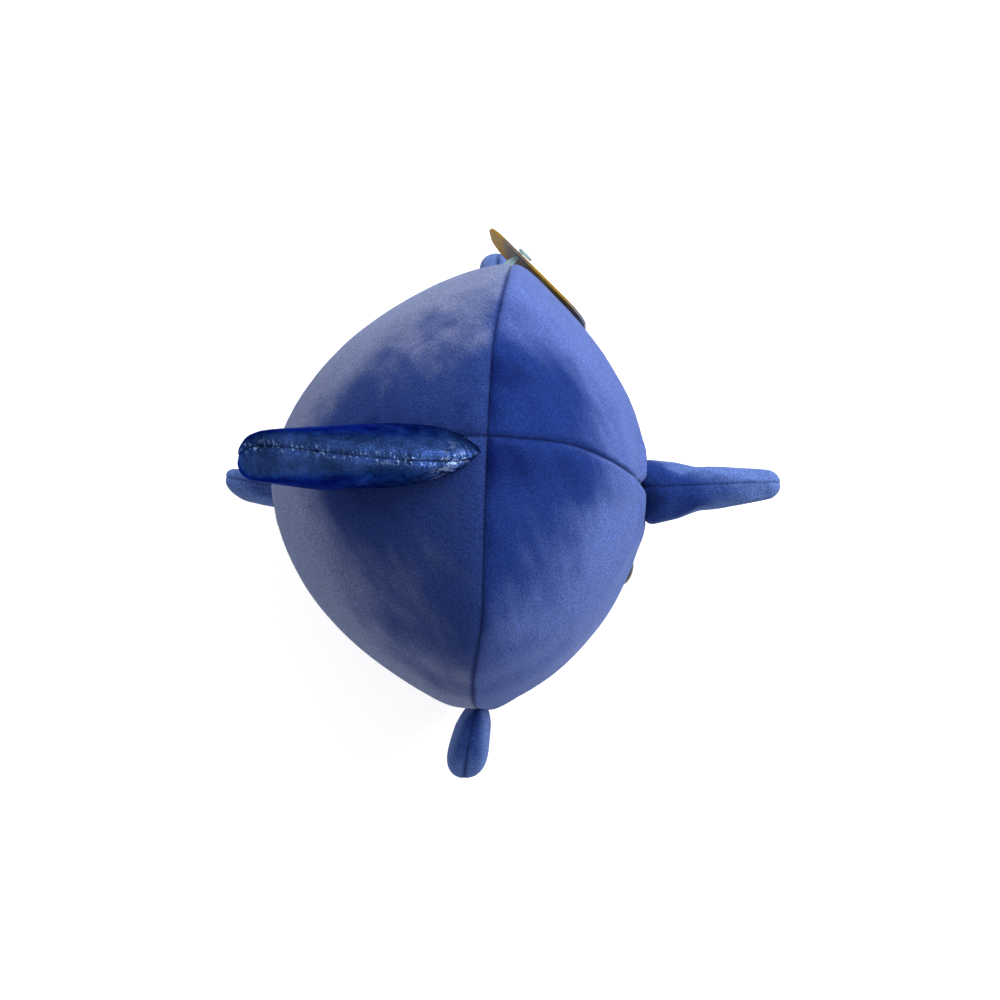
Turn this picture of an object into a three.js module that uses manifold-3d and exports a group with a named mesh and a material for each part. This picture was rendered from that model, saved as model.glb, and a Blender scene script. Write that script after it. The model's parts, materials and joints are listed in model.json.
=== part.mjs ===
// A stuffed toy swordfish. Four plush panels, two in front of an upright seam and two behind it, are
// sewn round a ball-shaped stuffing core. The bill, dorsal fin, tail and side fins are stuffed limbs
// of two panels each, sewn to the body at rounded roots. The face has two plastic safety eyes, and a
// blank card hangs from the left seam on a plastic loop.
// Millimetres, +Z up, +X towards the bill, +Y to the toy's left. The origin is on the floor, under
// the crossing of the upright seam and the middle seam.
import * as THREE from "three";
import { mergeVertices } from "three/addons/utils/BufferGeometryUtils.js";
import Module from "manifold-3d";

const wasm = await Module();
wasm.setup();

// Fabric and clearances
const FABRIC = 1.6; // plush with its pile
const SEAM_GAP = 0.3; // between panels sewn edge to edge
const STUFFING_GAP = 0.3; // between fabric and stuffing
const SEAT_GAP = 0.5; // between a limb's root and the body
const LIMB_FULLNESS = 0.36; // 0.5 would make a limb's section an ellipse, less makes it plumper

// Body
const BODY_HALF_WIDTH = 91; // middle to the side corner of the upright seam
const BODY_TOP_RISE = 101; // widest level to the top of the upright seam
const BODY_BOTTOM_DROP = 104; // widest level to the bottom, before the toy sits on it
const SEAM_ROUNDNESS = 1.95; // 2 would make the upright seam an ellipse
const FRONT_DEPTH = 62; // upright seam to the front of the face
const FRONT_FULLNESS = 1.28; // 2 would make the front an ellipsoid, less draws it to a ridge
const BACK_DEPTH = 91; // upright seam to the middle of the back
const BACK_FULLNESS = 1.375;
const SOLE_SQUASH = 15.5; // how far the bottom is pressed in by the floor
const SOLE_SOFTNESS = 3; // how gently the sides round into the sole
const SOLE_CUT = 0.5; // the sole is cut flat this deep

// Bill
const BILL_RISE = 12; // above the widest level
const BILL_ROOT_RADIUS = 12;
const BILL_TIP_RADIUS = 6;
const BILL_LENGTH = 46; // centre of the round root to the tip
const BILL_SOCKET_DEPTH = 6; // how deep the root sits in the face
const BILL_LIP_HEIGHT = 2.2; // the fabric that puffs up round the root
const BILL_LIP_WIDTH = 5;
const BILL_YAW = 4.5; // degrees to the toy's left
const BILL_PITCH = 8; // degrees upwards

// Dorsal fin, whose root runs down the middle of the back
const DORSAL_FRONT_ANGLE = 83; // degrees above the widest level, round the back
const DORSAL_REAR_ANGLE = 37;
const DORSAL_SIDE_SHIFT = 4; // the root lies this far to the right of the middle seam
const DORSAL_FLOP = 8; // the free edge leans this far to the right
const DORSAL_OVERHANG = 18.5; // tip behind the rear end of the root
const DORSAL_TIP_RISE = 49; // tip above the rear end of the root
const DORSAL_TIP_CHORD = 10;
const DORSAL_ROOT_HALF = 10.5; // half thickness near the root
const DORSAL_TIP_HALF = 7.5; // half thickness near the tip
const DORSAL_ROOT_RADIUS = 8.5;

// Tail
const TAIL_TOP_ANGLE = -7; // degrees above the widest level, round the back
const TAIL_BOTTOM_ANGLE = -22;
const TAIL_LENGTH = 29;
const TAIL_UPPER_SPREAD = 8; // upper lobe above the top of the root
const TAIL_LOWER_SPREAD = 13; // lower lobe below the bottom of the root
const TAIL_NOTCH = 4;
const TAIL_ROOT_HALF = 8;
const TAIL_TIP_HALF = 5.5;
const TAIL_ROOT_RADIUS = 6;

// Side fins, sewn into the upright seam
const SIDE_FIN_TOP_ANGLE = 97; // degrees from the top of the seam
const SIDE_FIN_BOTTOM_ANGLE = 114;
const SIDE_FIN_LENGTH = 31;
const LEFT_FIN_DROOP = 15; // tip below the middle of the root
const RIGHT_FIN_DROOP = 9;
const SIDE_FIN_TIP_CHORD = 9;
const SIDE_FIN_SWELL = 4; // how far each edge swells past a straight line
const LEFT_FIN_SWEEP = 1; // tip behind the root
const RIGHT_FIN_SWEEP = 6;
const SIDE_FIN_SETBACK = 3; // root behind the upright seam
const SIDE_FIN_HALF = 8.8;
const SIDE_FIN_ROOT_RADIUS = 7;

// Safety eyes
const EYE_SIDE = 30; // from the middle seam
const EYE_DROP = 14; // below the widest level
const EYE_RADIUS = 6;
const EYE_HEIGHT = 3;
const EYE_SHANK_RADIUS = 2;
const EYE_SHANK_LENGTH = 8;
const EYE_SEAT_CUT = 0.5; // the fabric is pressed flat this deep under the eye
const WASHER_RADIUS = 7;
const WASHER_THICKNESS = 1.2;
const SHANK_CLEARANCE = 0.3;

// Hang tag and its loop
const TAG_WIDTH = 57;
const TAG_HEIGHT = 30;
const TAG_THICKNESS = 1;
const TAG_CORNER = 9;
const TAG_TURN = 44; // degrees that the card faces forwards from the toy's left
const TAG_BODY_CLEARANCE = 0.8;
const TAG_FIN_CLEARANCE = 2;
const TAG_HOLE_RADIUS = 2;
const TAG_HOLE_INSET = 18; // loop to the card's rear edge
const TAG_HOLE_DROP = 4.5; // card's top edge to the loop
const TAG_HOLE_CLEARANCE = 0.7; // loop to the top of the hole
const LOOP_THICKNESS = 0.8;
const LOOP_ROOT_WIDTH = 4.4;
const LOOP_NECK_WIDTH = 2;
const LOOP_BAR_RADIUS = 0.7;
const LOOP_BAR_LENGTH = 10;
const LOOP_BAR_CLEARANCE = 1.2; // card to the cross bar, so that the card can swing

// Fineness of the surfaces
const SEAM_STEPS = 14;
const DOME_STEPS = 6;
const BACK_STEPS = 8;
const PAD_STEPS = 8;
const BILL_SIDES = 8;
const ROUND_SIDES = 20;

// Colours
const FRONT_BLUE = 0x405bab;
const BACK_BLUE = 0x4c5c93;
const BILL_BLUE = 0x37529c;
const FOIL_BLUE = 0x142e6e;
const TAIL_BLUE = 0x354573;
const SIDE_FIN_BLUE = 0x3a4f93;
const FIBREFILL_WHITE = 0xf2f0ea;
const EYE_BLACK = 0x0c0c0e;
const WASHER_WHITE = 0xe8e8e2;
const CARD_GOLD = 0x997e43;
const LOOP_TEAL = 0xbddee2;

// Levels and places that follow from the sizes above
const WIDEST_HEIGHT = BODY_BOTTOM_DROP - SOLE_SQUASH;
const CORE_INSET = FABRIC + STUFFING_GAP;
const HALF_SEAM = SEAM_GAP / 2;
const SOCKET_RADIUS = BILL_ROOT_RADIUS + SEAT_GAP;
const LIP_RADIUS = SOCKET_RADIUS + 0.6 * BILL_LIP_WIDTH;
const rad = THREE.MathUtils.degToRad;

// Meshes and solids

function finish(colour, roughness, metalness = 0) {
  return new THREE.MeshStandardMaterial({ color: colour, roughness, metalness });
}

function namedMesh(name, geometry, material) {
  const mesh = new THREE.Mesh(geometry, material);
  mesh.name = name;
  return mesh;
}

// A closed geometry from corner points, three for each triangle. Triangles that fold up to nothing
// are left out, and the faces are turned outwards.
function closedGeometry(corners) {
  const kept = [];
  let volume = 0;
  for (let i = 0; i < corners.length; i += 3) {
    const [a, b, c] = corners.slice(i, i + 3);
    const smallest = Math.min(a.distanceTo(b), b.distanceTo(c), c.distanceTo(a));
    if (smallest < 1e-4) continue;
    volume += a.dot(b.clone().cross(c));
    kept.push([a, b, c]);
  }
  const ordered = kept.flatMap(([a, b, c]) => (volume > 0 ? [a, b, c] : [a, c, b]));
  return mergeVertices(new THREE.BufferGeometry().setFromPoints(ordered), 1e-4);
}

// The two triangles of each cell of a grid of points
function gridCorners(grid, turned = false) {
  const corners = [];
  for (let i = 0; i + 1 < grid.length; i++) {
    for (let j = 0; j + 1 < grid[i].length; j++) {
      const a = grid[i][j];
      const b = grid[i + 1][j];
      const c = grid[i + 1][j + 1];
      const d = grid[i][j + 1];
      corners.push(...(turned ? [a, c, b, a, d, c] : [a, b, c, a, c, d]));
    }
  }
  return corners;
}

// The points round the rim of a grid, in the order in which its faces run
function rimPoints(grid) {
  const firstColumn = grid.map((row) => row[0]);
  const lastRow = grid.at(-1);
  const lastColumn = grid.map((row) => row.at(-1)).reverse();
  const firstRow = [...grid[0]].reverse();
  return [...firstColumn, ...lastRow.slice(1), ...lastColumn.slice(1), ...firstRow.slice(1)];
}

// A closed shell between an outer and an inner grid of the same size
function shell(outer, inner) {
  const corners = [...gridCorners(outer), ...gridCorners(inner, true)];
  const outerRim = rimPoints(outer);
  const innerRim = rimPoints(inner);
  for (let k = 0; k + 1 < outerRim.length; k++) {
    corners.push(outerRim[k + 1], outerRim[k], innerRim[k]);
    corners.push(outerRim[k + 1], innerRim[k], innerRim[k + 1]);
  }
  return closedGeometry(corners);
}

const mapGrid = (grid, change) => grid.map((row) => row.map(change));
const mirrored = (grid) => mapGrid(grid, (p) => new THREE.Vector3(p.x, -p.y, p.z));
const moved = (grid, shift) => mapGrid(grid, (p) => p.clone().add(shift));

function toSolid(geometry) {
  const bare = geometry.clone();
  bare.deleteAttribute("normal");
  bare.deleteAttribute("uv");
  const merged = mergeVertices(bare, 1e-4);
  const vertProperties = new Float32Array(merged.attributes.position.array);
  const triVerts = new Uint32Array(merged.index.array);
  return new wasm.Manifold(new wasm.Mesh({ numProp: 3, vertProperties, triVerts }));
}

function fromSolid(solid) {
  const { vertProperties, triVerts } = solid.getMesh();
  const geometry = new THREE.BufferGeometry();
  geometry.setAttribute("position", new THREE.BufferAttribute(vertProperties, 3));
  geometry.setIndex(new THREE.BufferAttribute(triVerts, 1));
  return geometry;
}

// Cuts a list of geometries out of one geometry
function cutOut(geometry, cutters) {
  const cut = cutters.reduce((left, cutter) => left.subtract(toSolid(cutter)), toSolid(geometry));
  return fromSolid(cut);
}

// Body surface. Points of the seam plane are (y, z) from the widest level, inset is the depth under
// the outside of the fabric.

function seamRadius(y, z, inset) {
  const halfHeight = (z >= 0 ? BODY_TOP_RISE : BODY_BOTTOM_DROP) - inset;
  const across = (Math.abs(y) / (BODY_HALF_WIDTH - inset)) ** SEAM_ROUNDNESS;
  const upright = (Math.abs(z) / halfHeight) ** SEAM_ROUNDNESS;
  return (across + upright) ** (1 / SEAM_ROUNDNESS);
}

// A point of the upright seam, at an angle from its top towards the toy's left
function seamPoint(angle, inset) {
  const y = Math.sin(angle);
  const z = Math.cos(angle);
  return new THREE.Vector2(y, z).divideScalar(seamRadius(y, z, inset));
}

function domeDepth(depth, fullness, y, z, inset) {
  const open = Math.max(0, 1 - seamRadius(y, z, inset) ** 2);
  return (depth - inset) * open ** (1 / fullness);
}

const faceDepth = (y, z, inset) => domeDepth(FRONT_DEPTH, FRONT_FULLNESS, y, z, inset);
const backDepth = (y, z, inset) => domeDepth(BACK_DEPTH, BACK_FULLNESS, y, z, inset);

const billCentre = new THREE.Vector3(
  HALF_SEAM + faceDepth(0, BILL_RISE, 0) - BILL_SOCKET_DEPTH + SOCKET_RADIUS,
  0,
  WIDEST_HEIGHT + BILL_RISE,
);

// The face with the puffed lip round the bill and the round socket that the bill's root sits in
function frontDepth(y, z, inset) {
  const fromBill = Math.hypot(y, z - BILL_RISE);
  const lip = BILL_LIP_HEIGHT * Math.exp(-(((fromBill - LIP_RADIUS) / BILL_LIP_WIDTH) ** 2));
  const face = faceDepth(y, z, inset) + lip;
  const socket = SOCKET_RADIUS + inset;
  if (fromBill >= socket) return face;
  return Math.min(face, billCentre.x - HALF_SEAM - Math.sqrt(socket ** 2 - fromBill ** 2));
}

// Height above the floor once the toy sits on its sole
function settled(height, inset) {
  const free = (height - inset + SOLE_CUT) / SOLE_SOFTNESS;
  return inset + Math.max(0, SOLE_SOFTNESS * Math.log1p(Math.exp(free)) - SOLE_CUT);
}

// Shares from just above 0 to 1 that draw together towards 1
function eased(count) {
  return Array.from({ length: count }, (_, k) => Math.sin(((k + 1) / count) * (Math.PI / 2)));
}

// Distances of the front's rings of points from the bill, out to the seam
function frontRings(reach) {
  const socket = [0, 0.33, 0.66, 0.85, 1].map((share) => share * SOCKET_RADIUS);
  const lip = [0, 0.8, 1.7].map((share) => LIP_RADIUS + share * BILL_LIP_WIDTH);
  const foot = lip.at(-1);
  return [...socket, ...lip, ...eased(DOME_STEPS).map((share) => foot + (reach - foot) * share)];
}

function backRings(reach) {
  return [0, ...eased(BACK_STEPS).map((share) => reach * share)];
}

const FRONT = { sign: 1, poleRise: BILL_RISE, depthAt: frontDepth, rings: frontRings };
const BACK = { sign: -1, poleRise: 0, depthAt: backDepth, rings: backRings };

// The left quarter of the body's surface in front of or behind the upright seam
function quarterGrid(half, inset) {
  const pole = new THREE.Vector2(0, half.poleRise);
  const grid = [];
  for (let i = 0; i <= SEAM_STEPS; i++) {
    const edge = seamPoint((Math.PI * i) / SEAM_STEPS, inset);
    const reach = edge.distanceTo(pole);
    const way = edge.clone().sub(pole).divideScalar(reach);
    const row = half.rings(reach).map((distance) => {
      const y = distance * way.x;
      const z = half.poleRise + distance * way.y;
      const x = half.sign * half.depthAt(y, z, inset);
      return new THREE.Vector3(x, y, settled(WIDEST_HEIGHT + z, inset));
    });
    grid.push(row);
  }
  return grid;
}

function bodyPanel(half, side) {
  const shift = new THREE.Vector3(half.sign * HALF_SEAM, HALF_SEAM, 0);
  const outer = moved(quarterGrid(half, 0), shift);
  const inner = moved(quarterGrid(half, FABRIC), shift);
  return side > 0 ? shell(outer, inner) : shell(mirrored(outer), mirrored(inner));
}

function bodyCore() {
  const front = quarterGrid(FRONT, CORE_INSET);
  const back = quarterGrid(BACK, CORE_INSET);
  return closedGeometry([
    ...gridCorners(front),
    ...gridCorners(mirrored(front), true),
    ...gridCorners(back, true),
    ...gridCorners(mirrored(back)),
  ]);
}

// Stuffed pads. middle(t, c) is the pad's middle surface, with t from root to tip and c from one edge
// to the other, half(t, c) is half its thickness and across is the direction of its thickness.

const spread = (step) => (1 - Math.cos((Math.PI * step) / PAD_STEPS)) / 2;

// A pad's grid of points, each lifted off the middle surface, leaving out the cells in the margin
function padGrid(pad, margin, lift) {
  const grid = [];
  const last = PAD_STEPS - margin;
  for (let i = margin; i <= last; i++) {
    const row = [];
    for (let j = margin; j <= last; j++) {
      const onRim = i === margin || i === last || j === margin || j === last;
      const t = spread(i);
      const c = spread(j);
      row.push(pad.middle(t, c).addScaledVector(pad.across, lift(pad.half(t, c), onRim)));
    }
    grid.push(row);
  }
  return grid;
}

function padPanel(pad, side) {
  const outer = padGrid(pad, 0, (half) => side * (HALF_SEAM + half));
  const inner = padGrid(pad, 0, (half) => side * (HALF_SEAM + Math.max(0, half - FABRIC)));
  return shell(outer, inner);
}

function padCore(pad) {
  const thinnest = HALF_SEAM / 3;
  const depth = (half, onRim) => (onRim ? 0 : Math.max(thinnest, half - CORE_INSET));
  const upper = padGrid(pad, 1, (half, onRim) => depth(half, onRim));
  const lower = padGrid(pad, 1, (half, onRim) => -depth(half, onRim));
  return shell(upper, lower);
}

// Half thickness of a pad: round at the root and the tip, drawn in to the seam along both edges
function padHalf({ rootHalf, tipHalf, rootRadius, span }) {
  const rootShare = rootRadius / span;
  const tipShare = tipHalf / span;
  return (t, c) => {
    const edge = Math.max(0, 1 - (2 * c - 1) ** 2) ** LIMB_FULLNESS;
    const root = Math.sqrt(Math.max(0, 1 - Math.max(0, 1 - t / rootShare) ** 2));
    const tip = Math.sqrt(Math.max(0, 1 - Math.max(0, 1 - (1 - t) / tipShare) ** 2));
    return THREE.MathUtils.lerp(rootHalf, tipHalf, t) * edge * root * tip;
  };
}

// A middle surface between two edge curves, whose root follows the body's curve rootAt(c)
function padMiddle(firstEdge, secondEdge, rootAt) {
  const first = rootAt(0);
  const second = rootAt(1);
  return (t, c) => {
    const straight = first.clone().lerp(second, c);
    const bulge = rootAt(c).sub(straight).multiplyScalar((1 - t) ** 2);
    return firstEdge.getPoint(t).lerp(secondEdge.getPoint(t), c).add(bulge);
  };
}

// A limb's group stands at its hinge, so its meshes are moved to stay where they were made
function limbGroup(hinge, meshes) {
  const group = new THREE.Group();
  group.position.copy(hinge);
  for (const mesh of meshes) {
    mesh.geometry.translate(-hinge.x, -hinge.y, -hinge.z);
    group.add(mesh);
  }
  return group;
}

function padMeshes(pad, name, panelNames, material) {
  const fill = finish(FIBREFILL_WHITE, 1);
  return [
    namedMesh(`${name}_${panelNames[0]}`, padPanel(pad, 1), material),
    namedMesh(`${name}_${panelNames[1]}`, padPanel(pad, -1), material.clone()),
    namedMesh(`${name}_stuffing`, padCore(pad), fill),
  ];
}

// A point of the middle line of the back, an angle above the widest level, off by a gap
function backLine(degrees, gap) {
  const at = (angle) => {
    const z = (angle >= 0 ? BODY_TOP_RISE : BODY_BOTTOM_DROP) * Math.sin(angle);
    return new THREE.Vector3(-HALF_SEAM - backDepth(0, z, 0), 0, WIDEST_HEIGHT + z);
  };
  const angle = rad(degrees);
  const tangent = at(angle + 1e-3).sub(at(angle - 1e-3)).normalize();
  const outward = new THREE.Vector3(-tangent.z, 0, tangent.x);
  return { point: at(angle).addScaledVector(outward, gap), tangent, outward };
}

// The bill's outline from the back of its round root to its tip, as distance and radius
function billOutline(inset) {
  const quarter = [0, 0.25, 0.5, 0.75, 1].map((share) => (share * Math.PI) / 2);
  const root = BILL_ROOT_RADIUS - inset;
  const tip = BILL_TIP_RADIUS - inset;
  const tipCentre = BILL_LENGTH - BILL_TIP_RADIUS;
  const back = quarter.map((turn) => [-root * Math.cos(turn), root * Math.sin(turn)]);
  const taper = [1 / 3, 2 / 3].map((share) => [
    tipCentre * share,
    THREE.MathUtils.lerp(root, tip, share),
  ]);
  const front = quarter.map((turn) => [tipCentre + tip * Math.sin(turn), tip * Math.cos(turn)]);
  return [...back, ...taper, ...front];
}

// The bill's left half, from its top seam round to its bottom seam
function billGrid(inset) {
  const outline = billOutline(inset);
  const grid = [];
  for (let i = 0; i <= BILL_SIDES; i++) {
    const turn = (Math.PI * i) / BILL_SIDES;
    const row = outline.map(
      ([along, radius]) => new THREE.Vector3(along, radius * Math.sin(turn), radius * Math.cos(turn)),
    );
    grid.push(row);
  }
  return grid;
}

function makeBill() {
  const shift = new THREE.Vector3(0, HALF_SEAM, 0);
  const outer = moved(billGrid(0), shift);
  const inner = moved(billGrid(FABRIC), shift);
  const core = billGrid(CORE_INSET);
  const filling = closedGeometry([...gridCorners(core), ...gridCorners(mirrored(core), true)]);
  const bill = new THREE.Group();
  bill.position.copy(billCentre);
  bill.rotation.set(0, -rad(BILL_PITCH), rad(BILL_YAW), "ZYX");
  bill.add(namedMesh("bill_left_panel", shell(outer, inner), finish(BILL_BLUE, 0.9)));
  const right = shell(mirrored(outer), mirrored(inner));
  bill.add(namedMesh("bill_right_panel", right, finish(BILL_BLUE, 0.9)));
  bill.add(namedMesh("bill_stuffing", filling, finish(FIBREFILL_WHITE, 1)));
  return bill;
}

function makeDorsalFin() {
  const toRight = new THREE.Vector3(0, -DORSAL_SIDE_SHIFT, 0);
  const rootAt = (c) => {
    const angle = THREE.MathUtils.lerp(DORSAL_FRONT_ANGLE, DORSAL_REAR_ANGLE, c);
    return backLine(angle, SEAT_GAP).point.add(toRight);
  };
  const front = rootAt(0);
  const rear = rootAt(1);
  const offset = (from, x, z) => new THREE.Vector3(from.x + x, from.y, from.z + z);
  const rearTip = offset(rear, -DORSAL_OVERHANG, DORSAL_TIP_RISE - DORSAL_TIP_CHORD / 2);
  const frontTip = offset(rearTip, DORSAL_TIP_CHORD / 3, DORSAL_TIP_CHORD);
  const frontControl = offset(front, -DORSAL_OVERHANG / 3, DORSAL_TIP_RISE / 3);
  const crestControl = offset(frontTip, DORSAL_OVERHANG, DORSAL_TIP_CHORD / 2);
  const hollowControl = offset(rear, -DORSAL_OVERHANG / 2, DORSAL_TIP_RISE / 4);
  const heelControl = offset(rearTip, DORSAL_OVERHANG / 10, -DORSAL_TIP_RISE / 4);
  const leading = new THREE.CubicBezierCurve3(front, frontControl, crestControl, frontTip);
  const trailing = new THREE.CubicBezierCurve3(rear, hollowControl, heelControl, rearTip);
  const upright = padMiddle(leading, trailing, rootAt);
  const middleRoot = backLine((DORSAL_FRONT_ANGLE + DORSAL_REAR_ANGLE) / 2, SEAT_GAP);
  const pad = {
    across: new THREE.Vector3(0, 1, 0),
    middle: (t, c) => {
      const point = upright(t, c);
      point.y -= DORSAL_FLOP * t ** 0.6;
      return point;
    },
    half: padHalf({
      rootHalf: DORSAL_ROOT_HALF,
      tipHalf: DORSAL_TIP_HALF,
      rootRadius: DORSAL_ROOT_RADIUS,
      span: middleRoot.point.distanceTo(frontTip),
    }),
  };
  const hinge = middleRoot.point.add(toRight).addScaledVector(middleRoot.outward, DORSAL_ROOT_RADIUS);
  const meshes = padMeshes(pad, "dorsal_fin", ["left_panel", "right_panel"], finish(FOIL_BLUE, 0.35, 0.3));
  return limbGroup(hinge, meshes);
}

function makeTail() {
  const rootAt = (c) => {
    return backLine(THREE.MathUtils.lerp(TAIL_TOP_ANGLE, TAIL_BOTTOM_ANGLE, c), SEAT_GAP).point;
  };
  const top = rootAt(0);
  const bottom = rootAt(1);
  const offset = (from, x, z) => new THREE.Vector3(from.x + x, from.y, from.z + z);
  const upperTip = offset(top, -TAIL_LENGTH, TAIL_UPPER_SPREAD);
  const lowerTip = new THREE.Vector3(upperTip.x, 0, bottom.z - TAIL_LOWER_SPREAD);
  const upperEdge = new THREE.QuadraticBezierCurve3(top, offset(top, -TAIL_LENGTH / 2, 0), upperTip);
  const lowerBend = offset(bottom, -TAIL_LENGTH / 2, 0);
  const lowerEdge = new THREE.QuadraticBezierCurve3(bottom, lowerBend, lowerTip);
  const forked = padMiddle(upperEdge, lowerEdge, rootAt);
  const pad = {
    across: new THREE.Vector3(0, 1, 0),
    middle: (t, c) => {
      const point = forked(t, c);
      point.x += TAIL_NOTCH * t ** 3 * (1 - (2 * c - 1) ** 2);
      return point;
    },
    half: padHalf({
      rootHalf: TAIL_ROOT_HALF,
      tipHalf: TAIL_TIP_HALF,
      rootRadius: TAIL_ROOT_RADIUS,
      span: TAIL_LENGTH,
    }),
  };
  const { point, outward } = backLine((TAIL_TOP_ANGLE + TAIL_BOTTOM_ANGLE) / 2, SEAT_GAP);
  const hinge = point.addScaledVector(outward, TAIL_ROOT_RADIUS);
  return limbGroup(hinge, padMeshes(pad, "tail", ["left_panel", "right_panel"], finish(TAIL_BLUE, 0.9)));
}

// A side fin, on the left for side 1 and on the right for side -1
function makeSideFin(name, side, droop, sweep) {
  const rootAngle = (c) => rad(THREE.MathUtils.lerp(SIDE_FIN_TOP_ANGLE, SIDE_FIN_BOTTOM_ANGLE, c));
  const shrink = Math.sqrt(1 - ((SIDE_FIN_SETBACK - HALF_SEAM) / BACK_DEPTH) ** BACK_FULLNESS);
  const seamAt = (angle) => {
    const point = seamPoint(angle, 0).multiplyScalar(shrink);
    return new THREE.Vector3(-SIDE_FIN_SETBACK, side * (point.x + HALF_SEAM), WIDEST_HEIGHT + point.y);
  };
  const outwardAt = (angle) => {
    const tangent = seamAt(angle + 1e-3).sub(seamAt(angle - 1e-3)).normalize();
    return new THREE.Vector3(0, -side * tangent.z, side * tangent.y);
  };
  const rootAt = (c) => {
    const angle = rootAngle(c);
    return seamAt(angle).addScaledVector(outwardAt(angle), SEAT_GAP);
  };
  const top = rootAt(0);
  const bottom = rootAt(1);
  const middle = rootAt(0.5);
  const place = (from, out, up) => new THREE.Vector3(from.x, from.y + side * out, from.z + up);
  const upperTip = place(middle, SIDE_FIN_LENGTH, SIDE_FIN_TIP_CHORD / 2 - droop);
  const lowerTip = place(upperTip, 0, -SIDE_FIN_TIP_CHORD);
  const upperBend = top.clone().lerp(upperTip, 0.6).add(new THREE.Vector3(0, 0, 2 * SIDE_FIN_SWELL));
  const lowerBend = bottom.clone().lerp(lowerTip, 0.6).sub(new THREE.Vector3(0, 0, 2 * SIDE_FIN_SWELL));
  const upperEdge = new THREE.QuadraticBezierCurve3(top, upperBend, upperTip);
  const lowerEdge = new THREE.QuadraticBezierCurve3(bottom, lowerBend, lowerTip);
  const straight = padMiddle(upperEdge, lowerEdge, rootAt);
  const pad = {
    across: new THREE.Vector3(1, 0, 0),
    middle: (t, c) => {
      const point = straight(t, c);
      point.x -= sweep * Math.sqrt(t);
      return point;
    },
    half: padHalf({
      rootHalf: SIDE_FIN_HALF,
      tipHalf: SIDE_FIN_HALF,
      rootRadius: SIDE_FIN_ROOT_RADIUS,
      span: SIDE_FIN_LENGTH,
    }),
  };
  const outward = outwardAt(rootAngle(0.5));
  const hinge = middle.clone().addScaledVector(outward, SIDE_FIN_ROOT_RADIUS);
  const meshes = padMeshes(pad, name, ["front_panel", "back_panel"], finish(SIDE_FIN_BLUE, 0.7));
  return limbGroup(hinge, meshes);
}

// Where a ray meets a geometry, nearest first
function surfaceHits(geometry, from, direction) {
  const target = new THREE.Mesh(geometry, new THREE.MeshStandardMaterial({ side: THREE.DoubleSide }));
  return new THREE.Raycaster(from, direction.clone().normalize()).intersectObject(target);
}

function cylinderAlongZ(radius, bottom, top) {
  const cylinder = new THREE.CylinderGeometry(radius, radius, top - bottom, ROUND_SIDES);
  return cylinder.rotateX(Math.PI / 2).translate(0, 0, (top + bottom) / 2);
}

// The face panel and the stuffing under one eye, with the eye's dome, shank and washer set into them
function setEye(side, panel, core) {
  const ahead = FRONT_DEPTH + BILL_LENGTH;
  const start = new THREE.Vector3(ahead, side * EYE_SIDE, WIDEST_HEIGHT - EYE_DROP);
  const seat = surfaceHits(panel, start, new THREE.Vector3(-1, 0, 0))[0];
  const frame = new THREE.Group();
  frame.position.copy(seat.point);
  frame.quaternion.setFromUnitVectors(new THREE.Vector3(0, 0, 1), seat.face.normal);
  frame.updateMatrixWorld();
  const inPlace = (geometry) => geometry.applyMatrix4(frame.matrixWorld);

  const inward = seat.face.normal.clone().negate();
  const rimDepths = Array.from({ length: ROUND_SIDES }, (_, k) => {
    const turn = (2 * Math.PI * k) / ROUND_SIDES;
    const x = WASHER_RADIUS * Math.cos(turn);
    const y = WASHER_RADIUS * Math.sin(turn);
    const outside = frame.localToWorld(new THREE.Vector3(x, y, WASHER_RADIUS));
    return WASHER_RADIUS - surfaceHits(panel, outside, inward)[1].distance;
  });
  const washerTop = Math.min(...rimDepths) - STUFFING_GAP;
  const washerBottom = washerTop - WASHER_THICKNESS;
  const baseLevel = SEAM_GAP - EYE_SEAT_CUT;
  const shankEnd = baseLevel - EYE_SHANK_LENGTH;
  const holeRadius = EYE_SHANK_RADIUS + SHANK_CLEARANCE;

  const seatCut = cylinderAlongZ(EYE_RADIUS + SHANK_CLEARANCE, -EYE_SEAT_CUT, EYE_HEIGHT);
  const shankHole = cylinderAlongZ(holeRadius, shankEnd - STUFFING_GAP, EYE_HEIGHT);
  const pocket = cylinderAlongZ(WASHER_RADIUS + STUFFING_GAP, washerBottom - STUFFING_GAP, EYE_HEIGHT);
  const cutPanel = cutOut(panel, [inPlace(seatCut), inPlace(shankHole.clone())]);
  const cutCore = cutOut(core, [inPlace(pocket), inPlace(shankHole)]);

  const dome = [0, 0.25, 0.5, 0.75, 1].map((share) => {
    const turn = (share * Math.PI) / 2;
    return new THREE.Vector2(EYE_RADIUS * Math.sin(turn), baseLevel + EYE_HEIGHT * Math.cos(turn));
  });
  const shank = [
    new THREE.Vector2(EYE_SHANK_RADIUS, baseLevel),
    new THREE.Vector2(EYE_SHANK_RADIUS, shankEnd),
    new THREE.Vector2(0, shankEnd),
  ];
  const outline = [...dome, ...shank].reverse();
  const eye = closedLathe(outline);
  const washer = cutOut(cylinderAlongZ(WASHER_RADIUS, washerBottom, washerTop), [
    cylinderAlongZ(holeRadius, washerBottom - 1, washerTop + 1),
  ]);
  const name = side > 0 ? "left" : "right";
  frame.add(namedMesh(`${name}_eye`, eye, finish(EYE_BLACK, 0.1)));
  frame.add(namedMesh(`${name}_eye_washer`, washer, finish(WASHER_WHITE, 0.5)));
  return { frame, panel: cutPanel, core: cutCore };
}

// A turned solid about local +Z
function closedLathe(outline) {
  return new THREE.LatheGeometry(outline, ROUND_SIDES).rotateX(Math.PI / 2);
}

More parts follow.
